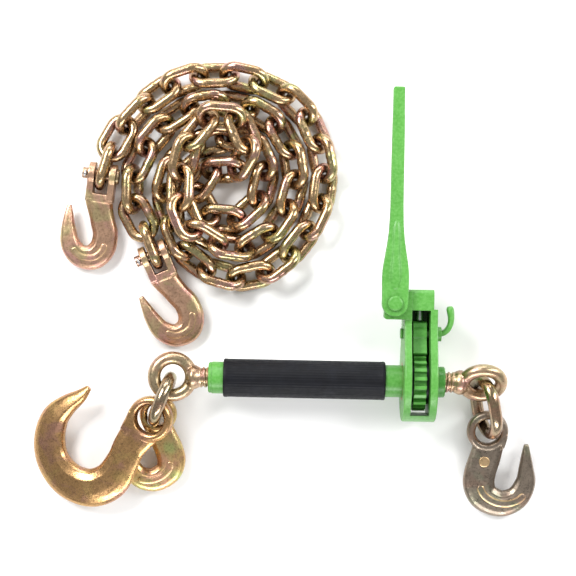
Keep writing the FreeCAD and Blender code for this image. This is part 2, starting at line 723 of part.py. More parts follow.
# ----------------------------------------------------------------- chain
# The coil's run: (angle in degrees, radius, height) from one end in to the middle,
# then from the middle out to the other end.
INWARD = [(181, 115.5, 14), (160, 111, 14), (130, 106, 14), (90, 104, 14), (0, 104, 14), (-62, 103, 14),
          (-92, 81, 14), (-112, 61, 14), (-135, 55, 14), (-185, 54, 14), (-240, 48, 14), (-330, 46, 14),
          (-400, 46, 14), (-440, 42, 14), (-480, 34, 14), (-530, 24, 14), (-590, 20, 14),
          (-650, 17, 18), (-700, 14, 28)]
OUTWARD = [(-50, 22, 36), (0, 30, 38), (42, 44, 38), (70, 50, 38), (110, 50, 38),
           (150, 48, 38), (190, 44, 38), (225, 46, 36), (248, 54, 32), (270, 63, 18),
           (290, 72, 14), (360, 75, 14), (450, 75, 14), (500, 77, 14), (540, 81, 14),
           (560, 78, 14), (574, 81, 14), (592.5, 98.8, 14)]


def add(a, b, k=1.0):
    return (a[0] + b[0] * k, a[1] + b[1] * k, a[2] + b[2] * k)


def sub(a, b):
    return (a[0] - b[0], a[1] - b[1], a[2] - b[2])


def dot(a, b):
    return a[0] * b[0] + a[1] * b[1] + a[2] * b[2]


def cross(a, b):
    return (a[1] * b[2] - a[2] * b[1], a[2] * b[0] - a[0] * b[2], a[0] * b[1] - a[1] * b[0])


def scaled(a, k):
    return (a[0] * k, a[1] * k, a[2] * k)


def size(a):
    return math.sqrt(dot(a, a))


def unit(a):
    return scaled(a, 1.0 / size(a))


def coil_run():
    """The coil's path as closely spaced points."""
    points = []
    for knots in (INWARD, OUTWARD):
        for (a0, r0, z0), (a1, r1, z1) in zip(knots, knots[1:]):
            count = max(2, int(abs(a1 - a0) / 3))
            for k in range(count):
                t = k / count
                ease = t * t * (3 - 2 * t) if abs(r1 - r0) > 10 else t
                angle = math.radians(a0 + (a1 - a0) * t)
                radius = r0 + (r1 - r0) * ease
                points.append((radius * math.cos(angle), radius * math.sin(angle), z0 + (z1 - z0) * t))
        angle = math.radians(knots[-1][0])
        radius = knots[-1][1]
        points.append((radius * math.cos(angle), radius * math.sin(angle), knots[-1][2]))
    return points


def equal_steps(points, step):
    """Joints on the path, each exactly one pitch from the last."""
    joints = [points[0]]
    here = points[0]
    k = 1
    while k < len(points):
        if size(sub(here, points[k])) < step:
            k += 1
            continue
        start = points[k - 1] if size(sub(here, points[k - 1])) < step else here
        low, high = 0.0, 1.0
        for _ in range(30):
            middle = (low + high) / 2
            if size(sub(here, add(start, sub(points[k], start), middle))) < step:
                low = middle
            else:
                high = middle
        here = add(start, sub(points[k], start), high)
        joints.append(here)
    # the last joint is the path's own end; the settling spreads the difference
    if size(sub(here, points[-1])) < step / 2:
        joints[-1] = points[-1]
    else:
        joints.append(points[-1])
    return joints


def nearest_fractions(p1, q1, p2, q2):
    """Where two segments come closest, as fractions along each."""
    d1, d2, r = sub(q1, p1), sub(q2, p2), sub(p1, p2)
    a, e, b = dot(d1, d1), dot(d2, d2), dot(d1, d2)
    c, f = dot(d1, r), dot(d2, r)
    spread = a * e - b * b
    s = min(1.0, max(0.0, (b * f - c * e) / spread)) if spread > 1e-9 else 0.0
    t = (b * s + f) / e
    if t < 0:
        return min(1.0, max(0.0, -c / a)), 0.0
    if t > 1:
        return min(1.0, max(0.0, (b - c) / a)), 1.0
    return s, t


def settle(joints, step):
    """Lets the string of joints sink, keep its pitch and lie beside itself."""
    rounds, lay_gap, floor, least_chord = 200, 27.6, 14.0, 53.0
    near_reach = 62
    joints = [tuple(p) for p in joints]
    ends = (joints[0], joints[-1])
    count = len(joints)
    for _ in range(rounds):
        joints = [(p[0], p[1], p[2] - 0.25) for p in joints]
        for i in range(count - 1):
            for j in range(i + 2, count - 1):
                apart = sub(joints[i], joints[j])
                if abs(apart[0]) > near_reach or abs(apart[1]) > near_reach:
                    continue
                s, t = nearest_fractions(joints[i], joints[i + 1], joints[j], joints[j + 1])
                here = add(joints[i], sub(joints[i + 1], joints[i]), s)
                there = add(joints[j], sub(joints[j + 1], joints[j]), t)
                between = sub(here, there)
                gap = size(between)
                wanted = lay_gap if j - i > 2 else lay_gap - 3
                wanted -= 3.5 * abs(between[2]) / max(gap, 1e-6)
                if 1e-6 < gap < wanted:
                    move = scaled(between, 0.4 * (wanted - gap) / gap)
                    joints[i] = add(joints[i], move, 1 - s)
                    joints[i + 1] = add(joints[i + 1], move, s)
                    joints[j] = add(joints[j], move, t - 1)
                    joints[j + 1] = add(joints[j + 1], move, -t)
        for i in range(1, count - 1):
            chord = sub(joints[i + 1], joints[i - 1])
            gap = size(chord)
            if gap < least_chord:
                share = 0.25 * (least_chord - gap) / gap
                joints[i - 1] = add(joints[i - 1], chord, -share)
                joints[i + 1] = add(joints[i + 1], chord, share)
        for _ in range(4):
            for i in range(count - 1):
                chord = sub(joints[i + 1], joints[i])
                gap = size(chord)
                share = 0.5 * (gap - step) / gap
                joints[i] = add(joints[i], chord, share)
                joints[i + 1] = add(joints[i + 1], chord, -share)
            joints[0], joints[-1] = ends
        joints = [(p[0], p[1], max(p[2], floor)) for p in joints]
    return joints


def link_frames(joints):
    """A frame (centre, length, width) for each link, turned 90 degrees from its neighbours."""
    up = (0.0, 0.0, 1.0)
    frames = []
    count = len(joints) - 1
    for i in range(count):
        along = unit(sub(joints[i + 1], joints[i]))
        level_side = unit(cross(up, along))
        upright = cross(along, level_side)
        # the two end links stand upright in their forks; the twist fades over five links
        near_start = i < count / 2
        fade = max(0.0, 1.0 - (i if near_start else count - 1 - i) / 4.0)
        end_roll = 45 if near_start or count % 2 == 1 else -45
        roll = math.radians((45 if i % 2 == 0 else -45) + end_roll * fade)
        side = add(scaled(level_side, math.cos(roll)), upright, math.sin(roll))
        frames.append([scaled(add(joints[i], joints[i + 1]), 0.5), along, side])
    # neighbours slide a little sideways in each other's bows where the run bends
    for i in range(count):
        for k in (i - 1, i):
            if not 0 <= k < count - 1:
                continue
            fold = cross(frames[k][1], frames[k + 1][1])
            if size(fold) < 1e-6:
                continue
            bend = math.degrees(math.atan2(size(fold), dot(frames[k][1], frames[k + 1][1])))
            fold = unit(fold)
            side = frames[i][2]
            slide = dot(side, fold) * dot(side, cross(fold, frames[i][1])) * min(2.6, 0.055 * bend)
            frames[i][0] = add(frames[i][0], fold, -slide)
    return frames


def bead_pattern(count):
    """Points evenly round a link's centre line."""
    half, bow = value("chain_half"), value("chain_bow")
    straight, arc = 2 * half, math.pi * bow
    beads = []
    for k in range(count):
        run = (2 * straight + 2 * arc) * k / count
        if run < straight:
            beads.append((run - half, -bow))
        elif run < straight + arc:
            angle = (run - straight) / bow - math.pi / 2
            beads.append((half + bow * math.cos(angle), bow * math.sin(angle)))
        elif run < 2 * straight + arc:
            beads.append((half - (run - straight - arc), bow))
        else:
            angle = (run - 2 * straight - arc) / bow + math.pi / 2
            beads.append((bow * math.cos(angle) - half, bow * math.sin(angle)))
    return beads


def beads_of(frame, pattern):
    centre, along, side = frame
    return [add(add(centre, along, x), side, y) for x, y in pattern]


def nearest_beads(first, second, reach):
    """The closest pair of beads of two links, and how far apart they are."""
    best, pair = 1e9, None
    for p in first:
        for q in second:
            dx = p[0] - q[0]
            if dx > reach or dx < -reach:
                continue
            apart = dx * dx + (p[1] - q[1]) ** 2 + (p[2] - q[2]) ** 2
            if apart < best:
                best, pair = apart, (p, q)
    return math.sqrt(best), pair


def nudge(frame, normal, lever, amount_moved, inertia):
    """Moves a link along a normal and turns it by the same push on a lever."""
    turn = scaled(cross(lever, normal), amount_moved / inertia)
    frame[0] = add(frame[0], normal, amount_moved)
    along = unit(add(frame[1], cross(turn, frame[1])))
    side = add(frame[2], cross(turn, frame[2]))
    frame[1] = along
    frame[2] = unit(add(side, along, -dot(side, along)))


def push_apart(frames):
    """Moves the rigid links off each other and off the floor until none of them touch."""
    pattern = bead_pattern(24)
    gap, floor, inertia, slack = 10.55, value("chain_wire") + 0.12, 200.0, 0.02
    reach = 52.0 ** 2
    count = len(frames)
    held = (0, count - 1)
    upright_height = floor + value("chain_bow")
    for end in held:
        frames[end][0] = (frames[end][0][0], frames[end][0][1], upright_height)
    beads = [beads_of(f, pattern) for f in frames]
    active = set(range(count))
    for _ in range(150):
        moved = set()
        for i in range(count):
            for j in range(i + 1, count):
                if i not in active and j not in active:
                    continue
                between = sub(frames[i][0], frames[j][0])
                if dot(between, between) > reach:
                    continue
                distance, pair = nearest_beads(beads[i], beads[j], 12.0)
                if pair is None or distance >= gap - slack:
                    continue
                normal = unit(sub(pair[0], pair[1]))
                lever_i = sub(pair[0], frames[i][0])
                lever_j = sub(pair[1], frames[j][0])
                movers = [(k, lever, sign) for k, lever, sign in ((i, lever_i, 1), (j, lever_j, -1))
                          if k not in held]
                give = 0.0
                for k, lever, sign in movers:
                    turn = cross(lever, normal)
                    give += 1 + dot(turn, turn) / inertia
                for k, lever, sign in movers:
                    nudge(frames[k], normal, lever, sign * (gap - distance) / give, inertia)
                    beads[k] = beads_of(frames[k], pattern)
                    moved.add(k)
        for i in range(1, count - 1):
            lowest = min(beads[i], key=lambda bead: bead[2])
            if lowest[2] < floor - slack:
                lever = sub(lowest, frames[i][0])
                turn = cross(lever, (0.0, 0.0, 1.0))
                push = (floor - lowest[2]) / (1 + dot(turn, turn) / inertia)
                nudge(frames[i], (0.0, 0.0, 1.0), lever, push, inertia)
                beads[i] = beads_of(frames[i], pattern)
                moved.add(i)
        active = moved
        if not moved:
            break
    return frames


def make_chain():
    """Every link of the coil; a sub-part holds a few neighbours as separate solids."""
    pitch = value("chain_pitch")
    frames = push_apart(link_frames(settle(equal_steps(coil_run(), pitch), pitch)))
    one = round_link(value("chain_bow"), value("chain_half"), value("chain_wire"))
    shift = V(value("coil_x"), value("coil_y"), 0)
    run_length = 4
    for start in range(0, len(frames), run_length):
        links = []
        for centre, along, side in frames[start:start + run_length]:
            link = one.copy()
            link.Placement = FreeCAD.Placement(V(*centre) + shift, lay_on(V(*along), V(*side)))
            links.append(link)
        name = "chain_links_%02d" % (start // run_length + 1)
        set_shape(name, Part.makeCompound(links), place(0, 0, 0))
    return frames, shift


def make_clevis_hook(mark, frame, shift, end, heading):
    """A clevis hook pinned to the chain's end link; end is -1 for the first link."""
    centre, along = V(*frame[0]), V(*frame[1])
    axis = level(heading)
    pin_reach = 9.8
    pivot = centre + shift + along * (end * pin_reach)
    solid = clevis_hook_shape()
    here = lay_down(solid, pivot, axis)
    set_shape("clevis_hook_" + mark, solid, here)
    pin, half = value("clevis_pin"), value("clevis_half")
    head = 2.4
    tail = 6.0
    stem = Part.makeCylinder(pin, 2 * half + tail + 0.3, V(-half - tail, 0, 0), X_AXIS)
    cap = Part.makeCylinder(pin + 2.4, head, V(half + 0.3, 0, 0), X_AXIS)
    cap = cap.makeFillet(1.2, [e for e in cap.Edges if e.BoundBox.XMin > half + head])
    wire = 1.1
    hole_x = -half - 2.6
    pinned = stem.fuse(cap).cut(Part.makeCylinder(wire + 0.1, 4 * pin, V(hole_x, 0, -2 * pin), Z_AXIS))
    set_shape("clevis_pin_" + mark, pinned.removeSplitter(), here)
    leg = Part.makeCylinder(wire, 2 * pin + 5.0, V(hole_x, 0, -pin - 3.6), Z_AXIS)
    eye = Part.makeTorus(2.4, wire, V(hole_x, 0, pin + 3.2), X_AXIS)
    set_shape("cotter_" + mark, leg.fuse(eye).removeSplitter(), here)
    return here


# ----------------------------------------------------------------- build
make_barrel()
gear_middle = make_gear()
make_washers(gear_middle)
make_plate_bushes()
make_housing()
make_pawl()
make_plunger()
make_handle()
make_eye_screws()
make_end_hooks()
chain_frames, chain_shift = make_chain()
make_clevis_hook("a", chain_frames[0], chain_shift, -1, -97)
make_clevis_hook("b", chain_frames[-1], chain_shift, 1, -66)
document.recompute()

os.makedirs("parts", exist_ok=True)
for thing in SUBPARTS:
    if "Invalid" in thing.State or "Error" in thing.State:
        raise RuntimeError("%s did not build" % thing.Label)
    if thing.Shape.isNull() or not thing.Shape.isValid():
        raise RuntimeError("%s has a broken shape" % thing.Label)
    thing.Shape.exportStep("parts/%s.step" % thing.Label)
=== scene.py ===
"""Ratchet load binder with its end hooks and a coiled transport chain, seen from above."""
import json
import math

import bmesh
import bpy
import numpy as np
from mathutils import Matrix, Vector
from mathutils.bvhtree import BVHTree


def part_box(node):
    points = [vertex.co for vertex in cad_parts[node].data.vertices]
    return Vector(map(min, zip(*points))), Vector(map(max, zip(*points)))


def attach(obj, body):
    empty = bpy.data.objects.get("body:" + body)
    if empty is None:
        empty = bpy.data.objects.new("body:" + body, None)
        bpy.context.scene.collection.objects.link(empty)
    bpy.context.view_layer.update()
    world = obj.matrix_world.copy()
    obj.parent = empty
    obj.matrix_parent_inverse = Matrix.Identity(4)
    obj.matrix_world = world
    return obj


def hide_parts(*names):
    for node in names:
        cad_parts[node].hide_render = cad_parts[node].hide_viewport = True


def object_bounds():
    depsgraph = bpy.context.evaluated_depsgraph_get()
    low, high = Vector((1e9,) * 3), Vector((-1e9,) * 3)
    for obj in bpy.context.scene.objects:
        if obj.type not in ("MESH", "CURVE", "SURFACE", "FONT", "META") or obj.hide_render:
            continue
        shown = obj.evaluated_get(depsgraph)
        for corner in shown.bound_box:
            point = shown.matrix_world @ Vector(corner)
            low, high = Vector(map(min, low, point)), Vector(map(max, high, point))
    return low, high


MM = 0.001
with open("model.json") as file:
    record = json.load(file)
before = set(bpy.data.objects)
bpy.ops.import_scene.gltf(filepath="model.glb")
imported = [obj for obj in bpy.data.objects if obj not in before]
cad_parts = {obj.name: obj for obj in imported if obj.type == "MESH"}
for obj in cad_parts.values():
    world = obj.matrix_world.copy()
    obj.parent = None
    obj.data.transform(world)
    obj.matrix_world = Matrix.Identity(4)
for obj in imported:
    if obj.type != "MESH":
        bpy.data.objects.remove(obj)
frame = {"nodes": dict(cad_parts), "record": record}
cad_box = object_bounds()
nodes = frame["nodes"]
AXIS_Y = -86.0 * MM
AXIS_Z = 38.0 * MM
NODE_RAYS = 4               # samples of the bevel and the occlusion nodes
EDGE_GAIN = 6.0             # how fast a rounded edge counts as worn
FORGED_EDGE, MACHINED_EDGE = 0.9 * MM, 0.4 * MM


# ------------------------------------------------------------------ materials
def rgb(hex_code):
    """An sRGB colour written as hex, as the shader's linear values."""
    out = []
    for k in (0, 2, 4):
        c = int(hex_code[k:k + 2], 16) / 255
        out.append(c / 12.92 if c <= 0.04045 else ((c + 0.055) / 1.055) ** 2.4)
    return (*out, 1.0)


class Shader:
    """A short way of writing a node material on object coordinates."""

    def __init__(self, name):
        self.material = bpy.data.materials.new(name)
        self.material.use_nodes = True
        self.tree = self.material.node_tree
        self.tree.nodes.clear()
        self.out = self.node("ShaderNodeOutputMaterial")
        self.bsdf = self.node("ShaderNodeBsdfPrincipled")
        self.link(self.bsdf.outputs[0], self.out.inputs[0])
        self.coord = self.node("ShaderNodeTexCoord").outputs["Object"]

    def node(self, kind, **props):
        n = self.tree.nodes.new(kind)
        for key, val in props.items():
            setattr(n, key, val)
        return n

    def link(self, a, b):
        self.tree.links.new(a, b)

    def feed(self, socket, source):
        if hasattr(source, "is_output"):
            self.link(source, socket)
        else:
            socket.default_value = source

    def noise(self, scale, detail=4.0, rough=0.55, stretch=None, distortion=0.0):
        n = self.node("ShaderNodeTexNoise")
        n.inputs["Scale"].default_value = scale
        n.inputs["Detail"].default_value = detail
        n.inputs["Roughness"].default_value = rough
        n.inputs["Distortion"].default_value = distortion
        source = self.coord
        if stretch:
            m = self.node("ShaderNodeMapping")
            m.inputs["Scale"].default_value = stretch
            self.link(self.coord, m.inputs["Vector"])
            source = m.outputs[0]
        self.link(source, n.inputs["Vector"])
        return n.outputs["Fac"]

    def voronoi(self, scale):
        n = self.node("ShaderNodeTexVoronoi", feature="F1")
        n.inputs["Scale"].default_value = scale
        self.link(self.coord, n.inputs["Vector"])
        return n.outputs["Distance"]

    def ramp(self, fac, stops):
        """Linear between the stops (position, colour or grey)."""
        n = self.node("ShaderNodeValToRGB")
        while len(n.color_ramp.elements) < len(stops):
            n.color_ramp.elements.new(0.5)
        for e, (pos, colour) in zip(n.color_ramp.elements, stops):
            e.position = pos
            e.color = colour if hasattr(colour, "__len__") else (colour, colour, colour, 1)
        self.link(fac, n.inputs[0])
        return n.outputs[0]

    def mix(self, fac, a, b):
        """Sockets 0, 6 and 7 are the node's factor and colours, and output 2 its colour."""
        n = self.node("ShaderNodeMix", data_type="RGBA", blend_type="MIX")
        self.feed(n.inputs[0], fac)
        self.feed(n.inputs[6], a)
        self.feed(n.inputs[7], b)
        return n.outputs[2]

    def math(self, op, a, b=0.0, clamp=False):
        n = self.node("ShaderNodeMath", operation=op, use_clamp=clamp)
        self.feed(n.inputs[0], a)
        self.feed(n.inputs[1], b)
        return n.outputs[0]

    def edges(self, radius):
        """1 on a sharp edge, 0 away from it, and the rounded normal."""
        b = self.node("ShaderNodeBevel", samples=NODE_RAYS)
        b.inputs["Radius"].default_value = radius
        g = self.node("ShaderNodeNewGeometry")
        d = self.node("ShaderNodeVectorMath", operation="DOT_PRODUCT")
        self.link(b.outputs[0], d.inputs[0])
        self.link(g.outputs["Normal"], d.inputs[1])
        off = self.math("SUBTRACT", 1.0, d.outputs["Value"])
        return self.math("MULTIPLY", off, EDGE_GAIN, True), b.outputs[0]

    def cavity(self, distance):
        """1 in the open, darker in creases."""
        a = self.node("ShaderNodeAmbientOcclusion", samples=NODE_RAYS)
        a.inputs["Distance"].default_value = distance
        return a.outputs["AO"]

    def bump(self, layers, normal=None):
        """Layers of (height, strength, distance), one on the other."""
        for height, strength, distance in layers:
            b = self.node("ShaderNodeBump")
            b.inputs["Strength"].default_value = strength
            b.inputs["Distance"].default_value = distance
            self.link(height, b.inputs["Height"])
            if normal:
                self.link(normal, b.inputs["Normal"])
            normal = b.outputs[0]
        self.link(normal, self.bsdf.inputs["Normal"])

    def set(self, **sockets):
        names = {"color": "Base Color", "rough": "Roughness", "metal": "Metallic",
                 "spec": "Specular IOR Level"}
        for key, source in sockets.items():
            self.feed(self.bsdf.inputs[names[key]], source)
        return self.material


def powder_coat(name, body, shade, light, crease_shade=0.62):
    """Semi-gloss powder coat: orange peel, painted shade in the creases, rubbed edges."""
    s = Shader(name)
    worn, rounded = s.edges(FORGED_EDGE)
    broad = s.noise(28, 3)
    fine = s.noise(420, 4)
    colour = s.mix(s.ramp(broad, [(0.3, 0.0), (0.7, 1.0)]), shade, body)
    colour = s.mix(s.ramp(fine, [(0.35, 0.0), (0.75, 0.35)]), colour, light)
    rub = s.math("MULTIPLY", worn, s.ramp(s.noise(160, 5), [(0.42, 0.0), (0.6, 0.8)]), True)
    colour = s.mix(rub, colour, light)
    # painted shade: the occlusion darkens the creases toward a dark copy of the shade colour
    crease = s.ramp(s.cavity(0.008), [(0.15, crease_shade), (0.75, 0.0)])
    colour = s.mix(crease, colour, tuple(0.28 * c for c in shade[:3]) + (1,))
    scuffs = s.ramp(s.noise(60, 6, 0.7, (1, 1, 4)), [(0.62, 0.0), (0.72, 1.0)])
    rough = s.ramp(s.mix(scuffs, s.noise(300, 3), (0.9, 0.9, 0.9, 1)), [(0.2, 0.27), (0.9, 0.5)])
    s.bump([(s.noise(900, 3), 0.22, 0.0004), (s.noise(90, 3), 0.12, 0.0008)], rounded)
    return s.set(color=colour, rough=rough, metal=0.0, spec=0.5)


def zinc(name, base, pink, green, dark, rough_low, rough_high, grain=0.3, pits=0.25, edge_light=None):
    """Yellow chromate zinc over forged steel: gold with pink and green films, painted shade in the creases.
    """
    forge = 70              # scale of the forging's skin
    s = Shader(name)
    worn, rounded = s.edges(FORGED_EDGE)
    film = s.noise(46, 3, 0.5, distortion=0.6)
    colour = s.mix(s.ramp(film, [(0.36, 1.0), (0.5, 0.0)]), base, pink)
    colour = s.mix(s.ramp(s.noise(33, 3, 0.5, distortion=0.9), [(0.54, 0.0), (0.66, 0.9)]), colour, green)
    speck = s.ramp(s.noise(520, 5, 0.7), [(0.5, 0.0), (0.72, 0.7)])
    colour = s.mix(speck, colour, dark)
    # painted shade: the occlusion darkens the creases and the places where parts touch
    crease = s.ramp(s.cavity(0.006), [(0.1, 0.85), (0.7, 0.0)])
    colour = s.mix(crease, colour, dark)
    if edge_light:
        colour = s.mix(s.math("MULTIPLY", worn, 0.8), colour, edge_light)
    rough = s.ramp(s.mix(0.5, s.noise(120, 4), s.noise(700, 3)), [(0.35, rough_low), (0.65, rough_high)])
    scale = s.voronoi(forge * 5)
    s.bump([(s.noise(forge, 4, 0.6), grain, 0.0012), (s.noise(forge * 9, 4, 0.6), pits, 0.0003),
            (scale, 0.10, 0.0003)], rounded)
    return s.set(color=colour, rough=rough, metal=1.0, spec=0.5)


def bright_steel(name, base, dark, low=0.2, high=0.4):
    """Turned or drawn steel: fine marks round the piece, painted shade in the creases."""
    s = Shader(name)
    _, rounded = s.edges(MACHINED_EDGE)
    colour = s.mix(s.ramp(s.noise(150, 4), [(0.35, 0.0), (0.7, 0.7)]), base, dark)
    # painted shade: the occlusion darkens the creases
    colour = s.mix(s.ramp(s.cavity(0.004), [(0.1, 0.8), (0.7, 0.0)]), colour, dark)
    rough = s.ramp(s.noise(400, 4, 0.6, (1, 6, 1)), [(0.3, low), (0.7, high)])
    s.bump([(s.noise(800, 4, 0.6, (1, 8, 1)), 0.15, 0.0002)], rounded)
    return s.set(color=colour, rough=rough, metal=1.0)


def rubber(name, base, light):
    """Dusty black rubber with streaks along the barrel."""
    s = Shader(name)
    dust = s.ramp(s.noise(70, 5, 0.65), [(0.45, 0.0), (0.75, 0.5)])
    colour = s.mix(dust, base, light)
    streak = s.ramp(s.noise(120, 4, 0.6, (0.06, 1, 1)), [(0.5, 0.0), (0.7, 0.5)])
    colour = s.mix(streak, colour, light)
    rough = s.ramp(s.noise(240, 4), [(0.3, 0.42), (0.7, 0.62)])
    s.bump([(s.noise(1200, 3), 0.25, 0.0003), (s.noise(160, 3), 0.1, 0.0006)])
    return s.set(color=colour, rough=rough, metal=0.0, spec=0.2)


GREEN = powder_coat("green_powder_coat", rgb("549a3e"), rgb("458a30"), rgb("84c470"))
# a lighter copy of the green coat with less crease shade: painted light on the gear and the pawl inside the
# slot
GEAR_PAINTED_LIGHT_GREEN = powder_coat("gear_painted_light_green_coat", rgb("5fae48"), rgb("52a03c"), rgb("8ccc78"), 0.25)
DARK_GREEN = powder_coat("dark_green_coat", rgb("3f8a2c"), rgb("327a22"), rgb("6cae5a"))
CHAIN_ZINC = zinc("yellow_zinc_chain", rgb("bc9e78"), rgb("c2988c"), rgb("b4ae7c"), rgb("584434"), 0.16, 0.34,
                  0.25, 0.2, rgb("e2d0ac"))
FORGED_GOLD = zinc("yellow_zinc_forging", rgb("bd9f82"), rgb("c0968a"), rgb("b3a684"), rgb("64493a"),
                   0.24, 0.42, 0.3, 0.25, rgb("ecd2ac"))
HOOK_PINK = zinc("clevis_zinc", rgb("cba488"), rgb("cf9f92"), rgb("c2b084"), rgb("6e4c38"), 0.28, 0.46,
                 0.3, 0.3, rgb("ecd0b0"))
SLIP_GOLD = zinc("bronze_zinc_forging", rgb("c39a6a"), rgb("bd9078"), rgb("c8a66c"), rgb("5b4030"), 0.2, 0.38,
                 0.22, 0.22, rgb("f2cd86"))
GRAB_GREEN = zinc("left_grab_zinc", rgb("cfae76"), rgb("cf9f80"), rgb("bcc07c"), rgb("6e5030"), 0.24, 0.42,
                  0.25, 0.25, rgb("efd8a4"))
GRAB_GREY = zinc("grey_zinc_forging", rgb("938678"), rgb("998474"), rgb("8a8874"), rgb("3c342c"), 0.26, 0.46,
                 0.4, 0.4, rgb("e2c49a"))
LINK_GREY = zinc("link_zinc", rgb("a8967c"), rgb("b08c74"), rgb("a09a74"), rgb("4a3c30"), 0.14, 0.3,
                 0.2, 0.2, rgb("e2d0b0"))
BOSS_GOLD = zinc("boss_zinc", rgb("e0bf92"), rgb("dcb290"), rgb("d6c08c"), rgb("8a6848"), 0.26, 0.42)
ZINC_STEEL = bright_steel("zinc_steel", rgb("d4d6d8"), rgb("74767a"))
SPRING_STEEL = bright_steel("spring_steel", rgb("a0a3a8"), rgb("4b4d52"))
# near-black steel: painted shade, standing for the shadow on the thrust washers beside the gear
WASHER_SHADE_STEEL = bright_steel("washer_painted_shade_steel", rgb("3c3e40"), rgb("18191b"), 0.3, 0.5)
BUSH_BRONZE = bright_steel("bronze_bush", rgb("b98a50"), rgb("5e4020"), 0.3, 0.5)
RUBBER = rubber("black_rubber", rgb("0c0d12"), rgb("1a1c24"))

LOOK = {"green_powder_coat": GREEN, "dark_green_coat": DARK_GREEN, "black_rubber": RUBBER,
        "yellow_zinc_chain": CHAIN_ZINC, "yellow_zinc_forging": FORGED_GOLD, "bronze_zinc_forging": SLIP_GOLD,
        "grey_zinc_forging": GRAB_GREY, "zinc_steel": ZINC_STEEL, "spring_steel": SPRING_STEEL,
        "bronze_bush": BUSH_BRONZE}
# the thrust washers wear the near-black steel as painted shade
SPECIAL = {"left_thrust_washer": WASHER_SHADE_STEEL, "right_thrust_washer": WASHER_SHADE_STEEL,
           # gear and pawl: their lighter green is painted light
           "ratchet_gear": GEAR_PAINTED_LIGHT_GREEN, "pawl": GEAR_PAINTED_LIGHT_GREEN, "left_grab_hook": GRAB_GREEN,
           "clevis_hook_a": HOOK_PINK, "clevis_hook_b": HOOK_PINK,
           "left_link": LINK_GREY, "right_link": LINK_GREY}


def wear(obj, material):
    obj.data.materials.clear()
    obj.data.materials.append(material)


slots = {p["node"]: p["material_slot"] for p in frame["record"]["subparts"]}
for name, obj in nodes.items():
    wear(obj, SPECIAL.get(name, LOOK[slots[name]]))


# ------------------------------------------------------------------ mesh tools
def put(name, data):
    """A new object in the scene."""
    obj = bpy.data.objects.new(name, data)
    bpy.context.scene.collection.objects.link(obj)
    return obj


def face_outward(mesh):
    bm = bmesh.new()
    bm.from_mesh(mesh)
    bmesh.ops.recalc_face_normals(bm, faces=bm.faces)
    bm.to_mesh(mesh)
    bm.free()


def mesh_piece(name, verts, faces, material, body, stands_for=(), smooth_angle=40):
    """A look piece in the row frame that rides on a body and may stand for frame nodes."""
    mesh = bpy.data.meshes.new(name)
    mesh.from_pydata([tuple(v) for v in verts], [], faces)
    mesh.validate()
    obj = put(name, mesh)
    face_outward(mesh)
    mesh.shade_smooth()
    mesh.set_sharp_from_angle(angle=math.radians(smooth_angle))
    wear(obj, material)
    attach(obj, body)
    if stands_for:
        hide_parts(*stands_for)
    return obj


def grid_faces(rows, columns, start=0, close_rows=False):
    """Faces of a grid that wraps round its columns."""
    faces = []
    for i in range(rows if close_rows else rows - 1):
        a, b = start + i * columns, start + ((i + 1) % rows) * columns
        for j in range(columns):
            k = (j + 1) % columns
            faces.append((a + j, a + k, b + k, b + j))
    return faces


def capped_faces(rows, columns):
    """The same grid as a tube, with a face over each end."""
    last = (rows - 1) * columns
    return grid_faces(rows, columns) + [tuple(range(columns)), tuple(range(last, last + columns))]


def fan(row, columns, tip):
    """Triangles from one row of a grid to a single vertex."""
    start = row * columns
    return [(start + j, start + (j + 1) % columns, tip) for j in range(columns)]


def joined(shapes):
    """Several (vertices, faces) as one."""
    verts, faces = [], []
    for more_verts, more_faces in shapes:
        shift = len(verts)
        verts += more_verts
        faces += [tuple(i + shift for i in face) for face in more_faces]
    return verts, faces


def read_out(bm):
    """The (vertices, faces) of a bmesh, which is freed."""
    bm.verts.index_update()
    shape = [tuple(v.co) for v in bm.verts], [tuple(v.index for v in f.verts) for f in bm.faces]
    bm.free()
    return shape


def cut_off(bm, dist, place, normal, **side):
    """Cuts a closed bmesh at a plane, clears one side and closes the cut."""
    cut = bmesh.ops.bisect_plane(bm, geom=bm.verts[:] + bm.edges[:] + bm.faces[:], dist=dist,
                                 plane_co=place, plane_no=normal, **side)
    rim = [e for e in cut["geom_cut"] if isinstance(e, bmesh.types.BMEdge)]
    bmesh.ops.holes_fill(bm, edges=rim, sides=0)


def forged(parts, voxel, rounds):
    """One rounded skin over overlapping closed parts, in the parts' own units: (vertices, faces)."""
    mesh = bpy.data.meshes.new("forging")
    verts, faces = joined(parts)
    mesh.from_pydata(verts, [], faces)
    face_outward(mesh)
    obj = put("forging", mesh)
    skin = obj.modifiers.new("skin", "REMESH")
    skin.mode = "VOXEL"
    skin.voxel_size = voxel
    ease = obj.modifiers.new("ease", "SMOOTH")
    ease.iterations = rounds
    ease.factor = 0.5
    done = obj.evaluated_get(bpy.context.evaluated_depsgraph_get()).to_mesh()
    out = [tuple(v.co) for v in done.vertices], [tuple(p.vertices) for p in done.polygons]
    bpy.data.objects.remove(obj)
    bpy.data.meshes.remove(mesh)
    return out


def turned_piece(x_and_r, columns, wobble=None):
    """A closed ring turned about the barrel's axis through the pairs (x, r)."""
    verts = []
    for i, (x, r) in enumerate(x_and_r):
        for j in range(columns):
            a = math.tau * j / columns
            rr = r + (wobble(i, j, a) if wobble else 0.0)
            verts.append((x, AXIS_Y + rr * math.cos(a), AXIS_Z + rr * math.sin(a)))
    return verts, grid_faces(len(x_and_r), columns, close_rows=True)


# ------------------------------------------------------------------ chain links
# wire radius, bow radius of the wire's centre line, half of a straight side
WIRE, BOW, HALF = 5.0 * MM, 12.0 * MM, 8.5 * MM
STEPS, SIDES = 56, 18
# the weld's bead, the notch at each side of it and the thinner bow, as shares of the wire's radius
PLAIN, BEAD, NOTCH, THINNED = 0.985, 0.07, 0.03, 0.012
BEAD_LENGTH, NOTCH_PLACE, NOTCH_LENGTH = 2.1 * MM, 3.4 * MM, 0.7 * MM
OFF_WELD = 1.0              # a distance beyond every link


